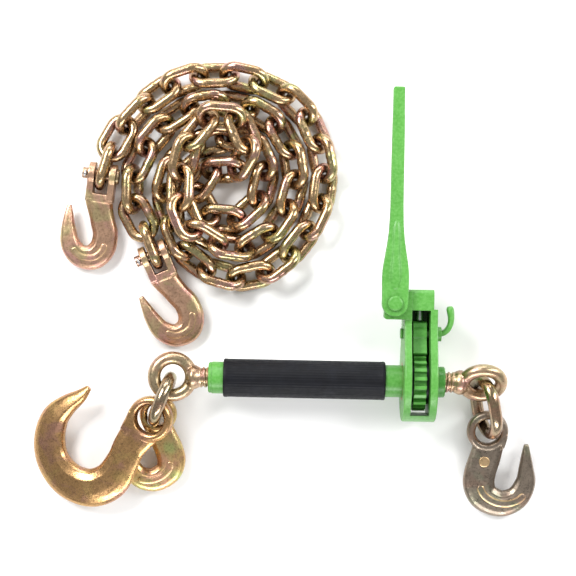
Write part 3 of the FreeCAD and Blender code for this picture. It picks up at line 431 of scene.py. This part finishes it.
def link_pattern():
    """Centre line, its outward direction and the wire's radius at each step of one link."""
    rows = []
    around = math.tau * BOW + 4 * HALF
    for k in range(STEPS):
        s = around * k / STEPS
        if s < 2 * HALF:
            x, y, ox, oy = -HALF + s, -BOW, 0.0, -1.0
            mid = s - HALF
        elif s < 2 * HALF + math.pi * BOW:
            a = -math.pi / 2 + (s - 2 * HALF) / BOW
            x, y, ox, oy = HALF + BOW * math.cos(a), BOW * math.sin(a), math.cos(a), math.sin(a)
            mid = OFF_WELD
        elif s < 4 * HALF + math.pi * BOW:
            t = s - 2 * HALF - math.pi * BOW
            x, y, ox, oy = HALF - t, BOW, 0.0, 1.0
            mid = OFF_WELD
        else:
            a = math.pi / 2 + (s - 4 * HALF - math.pi * BOW) / BOW
            x, y, ox, oy = -HALF + BOW * math.cos(a), BOW * math.sin(a), math.cos(a), math.sin(a)
            mid = OFF_WELD
        weld = math.exp(-(mid / BEAD_LENGTH) ** 2) if abs(mid) < HALF else 0.0
        notch = math.exp(-((abs(mid) - NOTCH_PLACE) / NOTCH_LENGTH) ** 2) if abs(mid) < HALF else 0.0
        bend = max(0.0, abs(x) - HALF) / BOW
        rows.append((x, y, ox, oy, WIRE * (PLAIN + BEAD * weld - NOTCH * notch - THINNED * bend)))
    return rows


PATTERN = link_pattern()


def loose_parts(mesh):
    """The vertex positions of each separate shell in a mesh."""
    co = np.empty(len(mesh.vertices) * 3)
    mesh.vertices.foreach_get("co", co)
    co = co.reshape(-1, 3)
    keys = {}
    where = np.empty(len(co), int)
    for i, p in enumerate(np.round(co, 6)):
        where[i] = keys.setdefault(tuple(p), len(keys))
    root = list(range(len(keys)))

    def find(i):
        while root[i] != i:
            root[i] = root[root[i]]
            i = root[i]
        return i

    for e in mesh.edges:
        a, b = find(where[e.vertices[0]]), find(where[e.vertices[1]])
        if a != b:
            root[b] = a
    groups = {}
    for i in range(len(co)):
        groups.setdefault(find(where[i]), []).append(i)
    parts = [np.unique(np.round(co[g], 6), axis=0) for g in groups.values()]
    return sorted(parts, key=lambda p: (round(float(p[:, 0].mean()), 4), round(float(p[:, 1].mean()), 4)))


def link_axes(points):
    """Middle, long axis and side axis of one link's shell."""
    centre = (points.max(0) + points.min(0)) / 2
    for _ in range(2):
        _, _, rows = np.linalg.svd(points - centre, full_matrices=False)
        spans = [(points @ r).max() + (points @ r).min() for r in rows]
        centre = sum(r * s / 2 for r, s in zip(rows, spans))
    return centre, rows[0], rows[1]


def chain_mesh(name, seed):
    """The pattern laid on each link of one node; the weld changes sides from link to link."""
    verts, faces = [], []
    for n, points in enumerate(loose_parts(nodes[name].data)):
        centre, along, side = link_axes(points)
        flat = np.cross(along, side)
        flip = -1.0 if (seed * 7 + n * 3) % 4 in (1, 2) else 1.0
        start = len(verts)
        for x, y, ox, oy, r in PATTERN:
            y, oy = y * flip, oy * flip
            for j in range(SIDES):
                a = math.tau * j / SIDES
                out = r * math.cos(a)
                verts.append(centre + along * (x + ox * out) + side * (y + oy * out)
                             + flat * (r * math.sin(a)))
        faces += grid_faces(STEPS, SIDES, start, close_rows=True)
    return verts, faces


for index, name in enumerate(sorted(n for n in nodes if n.startswith("chain_links"))):
    verts, faces = chain_mesh(name, index)
    mesh_piece(name + "_welded", verts, faces, CHAIN_ZINC, "chain", [name], 180)


# ------------------------------------------------------------------ eye screws
THREAD_PITCH, CREST, ROOT = 4.233 * MM, 9.98 * MM, 8.75 * MM
RIDGE_TOP, RIDGE_SLOPE = 1.9, 5.2       # a ridge's height at its middle, cut at 1, and its fall a pitch
RUN_OUT = 1.2 * MM
LEFT_CUT, RIGHT_CUT = -81.4 * MM, 163.0 * MM
# the neck between eye and thread: distance back from the cut and radius, in mm
NECK = [(13.5, 7.0), (11.0, 10.4), (8.5, 12.0), (6.0, 12.0), (3.5, 11.2), (1.5, 10.2), (0.0, 9.7)]
NECK_COLUMNS = 48
THREAD_OVERLAP = 1.5 * MM


def threaded_rod(x0, x1, hand):
    """A closed rod from x0 to x1 with a rounded helical thread."""
    per_turn, columns = 10, 40
    rows = int(abs(x1 - x0) / THREAD_PITCH * per_turn)
    verts = []
    for i in range(rows + 1):
        x = x0 + (x1 - x0) * i / rows
        end = min(abs(x - x0), abs(x1 - x))
        for j in range(columns):
            a = math.tau * j / columns
            phase = ((x - hand * a / math.tau * THREAD_PITCH) / THREAD_PITCH) % 1.0
            ridge = min(1.0, max(0.0, RIDGE_TOP - abs(phase - 0.5) * RIDGE_SLOPE))
            ridge = ridge * ridge * (3 - 2 * ridge)
            r = ROOT + (CREST - ROOT) * ridge * min(1.0, end / RUN_OUT)
            verts.append((x, AXIS_Y + r * math.cos(a), AXIS_Z + r * math.sin(a)))
    faces = grid_faces(rows + 1, columns)
    for row, x in ((0, x0), (rows, x1)):
        verts.append((x, AXIS_Y, AXIS_Z))
        faces += fan(row, columns, len(verts) - 1)
    return verts, faces


def eye_screw(name, body, cut_x, end_x, hand):
    """The forged eye is the frame's own mesh up to cut_x; the plain shank gives way to a threaded one."""
    bm = bmesh.new()
    bm.from_mesh(nodes[name].data)
    bmesh.ops.remove_doubles(bm, verts=bm.verts, dist=1e-7)
    toward = 1.0 if end_x > cut_x else -1.0
    cut_off(bm, 1e-7, (cut_x, 0, 0), (toward, 0, 0), clear_outer=True)
    flare = [(cut_x - toward * x * MM, r * MM) for x, r in NECK]
    cone = turned_piece(flare, NECK_COLUMNS)[0], capped_faces(len(flare), NECK_COLUMNS)
    eye = forged([read_out(bm), cone], 0.6 * MM, 5)
    rod = threaded_rod(cut_x - toward * THREAD_OVERLAP, end_x, hand)
    verts, faces = joined([eye, rod])
    return mesh_piece(name + "_threaded", verts, faces, FORGED_GOLD, body, [name], 35)


_, left_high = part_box("left_eye_screw")
right_low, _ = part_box("right_eye_screw")
eye_screw("left_eye_screw", "left_screw", LEFT_CUT, left_high.x, 1)
eye_screw("right_eye_screw", "right_screw", RIGHT_CUT, right_low.x, -1)


# ------------------------------------------------------------------ ribbed grip
def grip():
    """The rubber sleeve: rounded ends, a plain band beside each, fine ribs between them."""
    low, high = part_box("grip_sleeve")
    outer, inner = 18.6 * MM, 15.53 * MM
    ribs, per_rib, rows = 44, 6, 25
    rib_high, rib_low, ribbed_drop = 0.1 * MM, 0.08 * MM, 0.15 * MM
    plain = 4.2 * MM
    rim = [(0.0, 1.2), (0.4, 0.35), (1.2, 0.0), (3.4, 0.0)]     # in from the end, down from the outside, mm
    length = high.x - low.x
    outline = [(low.x, inner)] + [(low.x + x * MM, outer - drop * MM) for x, drop in rim]
    first = len(outline)
    for k in range(rows):
        outline.append((low.x + plain + (length - 2 * plain) * k / (rows - 1), outer - ribbed_drop))
    last = len(outline)
    outline += [(high.x - x * MM, outer - drop * MM) for x, drop in reversed(rim)] + [(high.x, inner)]

    def ribbed(i, j, a):
        return rib_high * math.cos(a * ribs) - rib_low if first <= i < last else 0.0

    verts, faces = turned_piece(outline, ribs * per_rib, ribbed)
    mesh_piece("grip_sleeve_ribbed", verts, faces, RUBBER, "barrel", ["grip_sleeve"], 50)


grip()


# ------------------------------------------------------------------ forged handle
def softened(name, body, material, voxel, rounds):
    """A node's own shape with every edge and corner rounded as a forging's are."""
    mesh = nodes[name].data
    whole = ([tuple(v.co) for v in mesh.vertices], [tuple(p.vertices) for p in mesh.polygons])
    verts, faces = forged([whole], voxel, rounds)
    return mesh_piece(name + "_forging", verts, faces, material, body, [name], 180)


softened("handle", "handle", GREEN, 0.6 * MM, 4)


# ------------------------------------------------------------------ forged hooks
def local_frame(pivot, x_axis, z_axis):
    """From a hook's own frame in mm to the row frame in metres."""
    x, z = Vector(x_axis).normalized(), Vector(z_axis).normalized()
    y = z.cross(x)
    turn = Matrix((x, y, z)).transposed().to_4x4()
    return Matrix.Translation(Vector(pivot) * MM) @ turn @ Matrix.Scale(MM, 4)


# half of a forged section: across from the throat side (-1) to the outside (1), height 0 to 1
SECTION = [(-1.0, 0.0), (-0.99, 0.32), (-0.90, 0.58), (-0.62, 0.95), (-0.54, 1.0), (-0.46, 0.965),
           (-0.2, 0.93), (0.2, 0.93), (0.55, 0.90), (0.78, 0.78), (0.93, 0.52), (1.0, 0.2), (1.0, 0.0)]
# the slip hook's own: a broader inner bevel and a face that falls away to the outside
SLIP_SECTION = [(-1.0, 0.0), (-0.985, 0.22), (-0.93, 0.45), (-0.8, 0.68), (-0.5, 0.96), (-0.42, 1.0),
                (-0.34, 0.98), (-0.1, 0.93), (0.25, 0.82), (0.55, 0.66), (0.8, 0.45), (0.95, 0.22),
                (1.0, 0.0)]
PATH_STEPS = 96
FORGING_ROUNDS = 4          # rounds of smoothing on a forging's skin


def section_loop(section):
    """The whole section: the half and its mirror image below."""
    bottom = [(u, -v) for u, v in reversed(section[1:])]
    return section[:-1] + bottom


def curve_points(stations, count):
    """A Catmull-Rom curve through the stations, whatever their dimension."""
    pts = [np.array(stations[0], float) * 2 - np.array(stations[1], float)]
    pts += [np.array(p, float) for p in stations]
    pts.append(pts[-1] * 2 - pts[-2])
    out = []
    for k in range(count):
        t = k / (count - 1) * (len(stations) - 1)
        i = min(int(t), len(stations) - 2)
        u = t - i
        p0, p1, p2, p3 = pts[i:i + 4]
        out.append(0.5 * (2 * p1 + (p2 - p0) * u + (2 * p0 - 5 * p1 + 4 * p2 - p3) * u * u
                          + (3 * p1 - p0 - 3 * p2 + p3) * u ** 3))
    return out


def swept_bar(stations, inner, section=SECTION):
    """A forged bar through (x, y, width, thickness); inner is 1 or -1, the throat's side."""
    path = curve_points(stations, PATH_STEPS)
    loop = section_loop(section)
    verts = []
    for i, (x, y, w, t) in enumerate(path):
        a, b = path[max(0, i - 1)], path[min(len(path) - 1, i + 1)]
        along = Vector((b[0] - a[0], b[1] - a[1])).normalized()
        across = Vector((along.y, -along.x)) * inner
        for u, v in loop:
            verts.append((x + across.x * u * w / 2, y + across.y * u * w / 2, v * t / 2))
    return verts, capped_faces(len(path), len(loop))


def cheek(outline, thickness, bevel):
    """A flat web with bevelled edges that carries the eye's side on into the shank."""
    middle = np.mean(np.array(outline), axis=0)
    rows = ((-0.5, bevel), (-0.25, 0.0), (0.25, 0.0), (0.5, bevel))
    verts = []
    for height, inset in rows:
        for x, y in outline:
            away = np.array((x, y)) - middle
            away *= 1 - inset / float(np.linalg.norm(away))
            verts.append((middle[0] + away[0], middle[1] + away[1], height * thickness))
    return verts, capped_faces(len(rows), len(outline))


def ring(hole, outer, thickness, squareness=2.5):
    """The eye: a rounded section turned about the hole's axis."""
    sides, columns = 20, 64
    middle, half = (hole + outer) / 2, (outer - hole) / 2
    verts = []
    for j in range(columns):
        a = math.tau * j / columns
        for i in range(sides):
            b = math.tau * i / sides
            c, d = math.cos(b), math.sin(b)
            k = (abs(c) ** squareness + abs(d) ** squareness) ** (-1 / squareness)
            r = middle + half * c * k
            verts.append((r * math.cos(a), r * math.sin(a), thickness / 2 * d * k))
    return verts, grid_faces(columns, sides, close_rows=True)


def fork(name, to_local, keep_above):
    """The frame's own fork, cut off below keep_above in the hook's frame."""
    bm = bmesh.new()
    bm.from_mesh(nodes[name].data)
    bm.transform(to_local)
    bmesh.ops.remove_doubles(bm, verts=bm.verts, dist=1e-4)
    cut_off(bm, 1e-4, (0, keep_above, 0), (0, 1, 0), clear_inner=True)
    return read_out(bm)


class Hook:
    """A hook's forged skin, with raised details laid on its upper face; all in the hook's frame, mm."""

    ABOVE = 60.0            # a height over every hook
    SUNK = 0.6              # depth of a detail's edge in the skin

    def __init__(self, node, body, slot_name, material, pivot, x_axis, z_axis, parts, voxel=0.6):
        self.body, self.slot_name = body, slot_name
        self.frame = local_frame(pivot, x_axis, z_axis)
        made = [p(self.frame.inverted()) if callable(p) else p for p in parts]
        verts, faces = forged(made, voxel, FORGING_ROUNDS)
        self.tree = BVHTree.FromPolygons([Vector(v) for v in verts], faces)
        self.add(node + "_forging", verts, faces, material, [node], 180)

    def add(self, name, verts, faces, material, stands_for=(), angle=50):
        placed = [self.frame @ Vector(v) for v in verts]
        return mesh_piece(name, placed, faces, material, self.body, stands_for, angle)

    def height(self, x, y, default=0.0):
        hit = self.tree.ray_cast(Vector((x, y, self.ABOVE)), Vector((0, 0, -1)))
        return hit[0].z if hit[0] else default

    def boss(self, name, x, y, radius, rise, material):
        """A low round button: rows of (share of the radius, height over the skin) and a crown."""
        rings = [(1.0, -self.SUNK), (1.0, rise * 0.5), (0.95, rise * 0.85), (0.86, rise), (0.45, rise * 1.05)]
        columns = 40
        verts = []
        for k, dz in rings:
            for j in range(columns):
                a = math.tau * j / columns
                px, py = x + radius * k * math.cos(a), y + radius * k * math.sin(a)
                verts.append((px, py, self.height(px, py) + dz))
        faces = grid_faces(len(rings), columns)
        for row, dz in ((0, -self.SUNK), (len(rings) - 1, rise * 1.06)):
            verts.append((x, y, self.height(x, y) + dz))
            faces += fan(row, columns, len(verts) - 1)
        self.add(name, verts, faces, material)

    def band(self, name, points, width, rise, material, count=60):
        """A raised rounded band along a path, its ends rounded off."""
        path = curve_points(points, count)
        across = (-1.0, -0.97, -0.85, -0.6, -0.3, 0.0, 0.3, 0.6, 0.85, 0.97, 1.0)
        lift = (-0.5, 0.4 * rise, 0.85 * rise, rise, rise, rise, rise, rise, 0.85 * rise, 0.4 * rise, -0.5)
        length = sum(float(np.linalg.norm(b - a)) for a, b in zip(path, path[1:]))
        verts, gone, last = [], 0.0, 0.0
        for i, p in enumerate(path):
            a, b = path[max(0, i - 1)], path[min(count - 1, i + 1)]
            gone += float(np.linalg.norm(p - path[i - 1])) if i else 0.0
            along = Vector(b - a).normalized()
            side = Vector((-along.y, along.x))
            near = min(gone, length - gone) / (width / 2)
            taper = max(0.08, math.sqrt(max(0.0, 1 - (1 - min(1.0, near)) ** 2)))
            for k, up in zip(across, lift):
                x = p[0] + side.x * k * width / 2 * taper
                y = p[1] + side.y * k * width / 2 * taper
                last = self.height(x, y, last)
                verts.append((x, y, last + (up * min(1.0, taper * 1.5) if up > 0 else up)))
        self.add(name, verts, capped_faces(count, len(across)), material)

    def pad(self, name, path, width, rise, rim_width, rim_rise, material):
        """A raised pad inside a bright rim."""
        self.band(name + "_rim", path, rim_width, rim_rise, BOSS_GOLD)
        self.band(name, path, width, rise, material)


# each hook in its own frame, mm: the eye's or the pin's middle is the origin, and the bow is down -Y
# stations of a bar are (x, y, width, thickness)
SLIP = [(-9.7, -11.8, 38.0, 12.6), (-15.0, -19.1, 35.0, 13.6), (-21.9, -29.1, 32.5, 15.0),
        (-28.5, -44.0, 33.0, 16.5), (-41.0, -63.0, 37.5, 18.5), (-61.5, -71.2, 38.0, 20.5),
        (-84.0, -64.5, 36.5, 21.5), (-99.5, -46.5, 34.0, 21.0), (-103.5, -25.0, 32.0, 20.0),
        (-98.0, -4.0, 28.0, 18.5), (-85.5, 9.5, 21.0, 16.0), (-72.0, 19.0, 14.0, 12.0),
        (-62.5, 28.0, 6.0, 6.5)]
SLIP_CHEEK = [(-20.1, 10.0), (-25.1, -0.4), (-30.0, -10.4), (-24.0, -16.0), (-16.5, -8.0), (-15.0, 1.0),
              (-15.0, 6.5)]
GRAB = [(1.0, -14.0, 31.0, 10.6), (0.4, -18.5, 30.0, 11.0), (-1.6, -27.0, 30.5, 12.5),
        (-5.6, -41.0, 31.0, 13.5), (-6.4, -54.0, 31.0, 14.0), (-0.5, -66.0, 29.0, 14.0),
        (15.5, -72.5, 26.5, 14.0), (31.0, -66.5, 23.5, 13.5), (39.0, -51.5, 20.0, 12.5),
        (39.3, -36.0, 14.5, 11.0), (38.8, -22.0, 9.0, 9.5), (38.6, -12.5, 4.5, 6.0)]
GRAB_CHEEK = [(20.2, -1.0), (19.6, -7.0), (16.9, -16.0), (13.4, -18.5), (13.0, -9.0), (14.0, -1.5)]
GRAB_PAD = [(-6.7, -53.6), (-1.4, -63.0), (8.5, -69.4), (21.0, -71.2), (32.0, -67.4), (38.0, -61.5)]
CLEVIS = [(0.0, -19.5, 28.4, 16.8), (0.2, -25.0, 28.0, 16.6), (1.4, -31.0, 25.6, 15.8),
          (3.6, -38.0, 24.0, 15.2), (6.2, -46.0, 24.0, 15.0), (10.0, -57.0, 24.5, 15.0),
          (9.0, -71.0, 25.5, 15.0), (1.0, -81.0, 25.5, 15.0), (-12.5, -81.5, 22.5, 15.0),
          (-22.5, -72.0, 19.5, 14.0), (-26.5, -58.0, 15.0, 12.5), (-28.0, -44.0, 9.5, 10.0),
          (-28.6, -33.5, 4.5, 6.0)]
CLEVIS_PAD = [(11.5, -66.0), (9.5, -73.5), (2.0, -81.0), (-11.0, -81.5), (-20.0, -75.0)]
FORK_CUT = -26.0
# hole radius, outer radius and thickness of the eyes; thickness and bevel of the cheeks
SLIP_EYE, SLIP_CHEEK_SIZE, SLIP_VOXEL = (13.8, 22.4, 13.0), (12.8, 2.2), 0.7
GRAB_HOLE, GRAB_OUTER, GRAB_THICK = 11.8, 20.4, 11.0
GRAB_CHEEK_SIZE = (10.8, 1.6)
LEFT_SCALE = 0.9            # the left grab hook is the smaller one, and its mirror image


def small(points):
    """Points or stations of the right grab hook as the left one has them; thickness stays."""
    return [(-x * LEFT_SCALE, y * LEFT_SCALE, *(w * LEFT_SCALE for w in rest[:1]), *rest[1:])
            for x, y, *rest in points]


Hook("slip_hook", "slip_hook", "bronze_zinc_forging", SLIP_GOLD,
     (-128.9, -127.6, 36.3), (0.9774, -0.009, 0.2114), (-0.2114, -0.0841, 0.9738),
     [ring(*SLIP_EYE), cheek(SLIP_CHEEK, *SLIP_CHEEK_SIZE), swept_bar(SLIP, -1, SLIP_SECTION)], SLIP_VOXEL)
right_grab = Hook("right_grab_hook", "right_grab_hook", "grey_zinc_forging", GRAB_GREY,
                  (199.8, -134.2, 18.0), (1, 0, 0), (0, -0.1404, 0.9901),
                  [ring(GRAB_HOLE, GRAB_OUTER, GRAB_THICK), cheek(GRAB_CHEEK, *GRAB_CHEEK_SIZE),
                   swept_bar(GRAB, 1)])
left_grab = Hook("left_grab_hook", "left_grab_hook", "yellow_zinc_forging", GRAB_GREEN,
                 (-122.9, -123.9, 19.0), (0.9877, 0.1564, 0), (0.0267, -0.1684, 0.9854),
                 [ring(GRAB_HOLE * LEFT_SCALE, GRAB_OUTER * LEFT_SCALE, GRAB_THICK),
                  cheek(small(GRAB_CHEEK), *GRAB_CHEEK_SIZE), swept_bar(small(GRAB), -1)])
clevis_hooks = {}
for mark, pivot, x_axis, z_axis in (
        ("a", (-182.204, 108.73, 17.12), (0.9926, -0.1219, 0), (-0.0134, -0.109, 0.994)),
        ("b", (-130.106, 32.154, 17.12), (0.9135, 0.4067, 0), (0.0446, -0.1003, 0.994))):
    node = "clevis_hook_" + mark
    forging = [lambda to_local, n=node: fork(n, to_local, FORK_CUT), swept_bar(CLEVIS, -1)]
    clevis_hooks[mark] = Hook(node, node, "yellow_zinc_forging", HOOK_PINK, pivot, x_axis, z_axis, forging)

right_grab.boss("right_grab_boss", -2.6, -29.6, 5.3, 0.55, BOSS_GOLD)
right_grab.pad("right_grab_pad", GRAB_PAD, 5.4, 0.62, 7.4, 0.5, GRAB_GREY)
left_grab.pad("left_grab_pad", small(GRAB_PAD[:-1]), 5.2, 0.55, 7.0, 0.45, GRAB_GREEN)
for mark, hook in clevis_hooks.items():
    hook.pad("clevis_pad_" + mark, CLEVIS_PAD, 5.2, 0.48, 6.6, 0.4, HOOK_PINK)


# ------------------------------------------------------------------ housing details: painted shade under the slot
def slot_shade_web():
    """The thin web that closes the slot's underside, along the plates' outline: a dark sheet of painted
    shade, put where the open slot shows only shadow.
    """
    round_end, shoulder, top_half, slot_high = 38.7, 56.0, 20.5, 68.8
    inset, thickness, first_angle = 1.6, 1.5, math.radians(-128)
    left, right = 120.45, 138.55
    arc_steps, flat_steps = 24, 8
    touch = math.atan2(top_half, shoulder) + math.acos(round_end / math.hypot(shoulder, top_half))
    line = []
    for k in range(arc_steps + 1):
        a = first_angle + (-touch - first_angle) * k / arc_steps
        line.append((round_end * math.cos(a), round_end * math.sin(a), a))
    y0, z0, _ = line[-1]
    for k in range(1, flat_steps + 1):
        line.append((y0 + (shoulder - y0) * k / flat_steps, z0 + (-top_half - z0) * k / flat_steps, -touch))
    line += [(y, -top_half, -math.pi / 2) for y in (shoulder + 1.0, shoulder + 6.0, slot_high)]
    corners = ((left, inset), (right, inset), (right, inset + thickness), (left, inset + thickness))
    verts = []
    for y, z, a in line:
        for x, depth in corners:
            verts.append((x * MM, AXIS_Y + (y - depth * math.cos(a)) * MM,
                          AXIS_Z + (z - depth * math.sin(a)) * MM))
    faces = capped_faces(len(line), len(corners))
    # painted shade: the dark green sheet stands for the shadow deep in the slot
    mesh_piece("ratchet_housing_shade_web", verts, faces, DARK_GREEN, "binder", (), 35)


slot_shade_web()


# ------------------------------------------------------------------ studio
def studio():
    """A white floor and backdrop, four soft lights and a camera straight above."""
    half, drop = 4, 0.0004
    floor_mesh = bpy.data.meshes.new("studio_floor")
    corners = [(x, y, -drop) for x, y in ((-half, -half), (half, -half), (half, half), (-half, half))]
    floor_mesh.from_pydata(corners, [], [(0, 1, 2, 3)])
    floor = put("studio_floor", floor_mesh)
    s = Shader("studio_floor")
    s.bump([(s.noise(60, 4), 0.02, 0.0005)])
    colour = s.mix(s.ramp(s.noise(3, 3), [(0.3, 0.0), (0.7, 1.0)]), rgb("f6f6f5"), rgb("f9f9f9"))
    rough = s.ramp(s.noise(40, 4), [(0.3, 0.55), (0.7, 0.7)])
    wear(floor, s.set(color=colour, rough=rough, metal=0.0, spec=0.3))

    world = bpy.data.worlds.new("studio")
    bpy.context.scene.world = world
    world.use_nodes = True
    backdrop = world.node_tree.nodes["Background"]
    backdrop.inputs["Color"].default_value = (1.0, 1.0, 1.0, 1)
    backdrop.inputs["Strength"].default_value = 0.42

    def area(name, place, aim, size, power):
        light = bpy.data.lights.new(name, "AREA")
        light.shape = "RECTANGLE"
        light.size, light.size_y = size
        light.energy = power
        obj = put(name, light)
        obj.location = place
        obj.rotation_mode = "QUATERNION"
        obj.rotation_quaternion = (Vector(aim) - Vector(place)).to_track_quat("-Z", "Y")

    area("key", (-0.9, 0.8, 1.3), (0, 0, 0), (0.9, 0.5), 30)
    area("fill", (1.2, 0.5, 0.9), (0, 0, 0), (0.35, 1.2), 16)
    area("front", (0.1, -1.3, 0.8), (0, 0, 0), (1.3, 0.3), 14)
    area("back", (0.0, 1.4, 0.6), (0, 0, 0), (1.4, 0.25), 10)

    scene = bpy.context.scene
    scene.view_settings.view_transform = "Standard"
    scene.view_settings.look = "None"
    scene.view_settings.exposure = 0.0

    camera_data = bpy.data.cameras.new("camera")
    camera_data.lens = 100.0
    camera_data.sensor_width = 36.0
    camera = put("camera", camera_data)
    middle = Vector(((cad_box[0].x + cad_box[1].x) / 2, (cad_box[0].y + cad_box[1].y) / 2, 0.0))
    across, focus_height, roll = 0.56, 0.03, math.radians(1.2)
    distance = across * camera_data.lens / camera_data.sensor_width
    camera.location = middle + Vector((0, 0, distance + focus_height))
    camera.rotation_euler = (0, 0, roll)
    camera_data.clip_end = 20.0
    scene.camera = camera


studio()
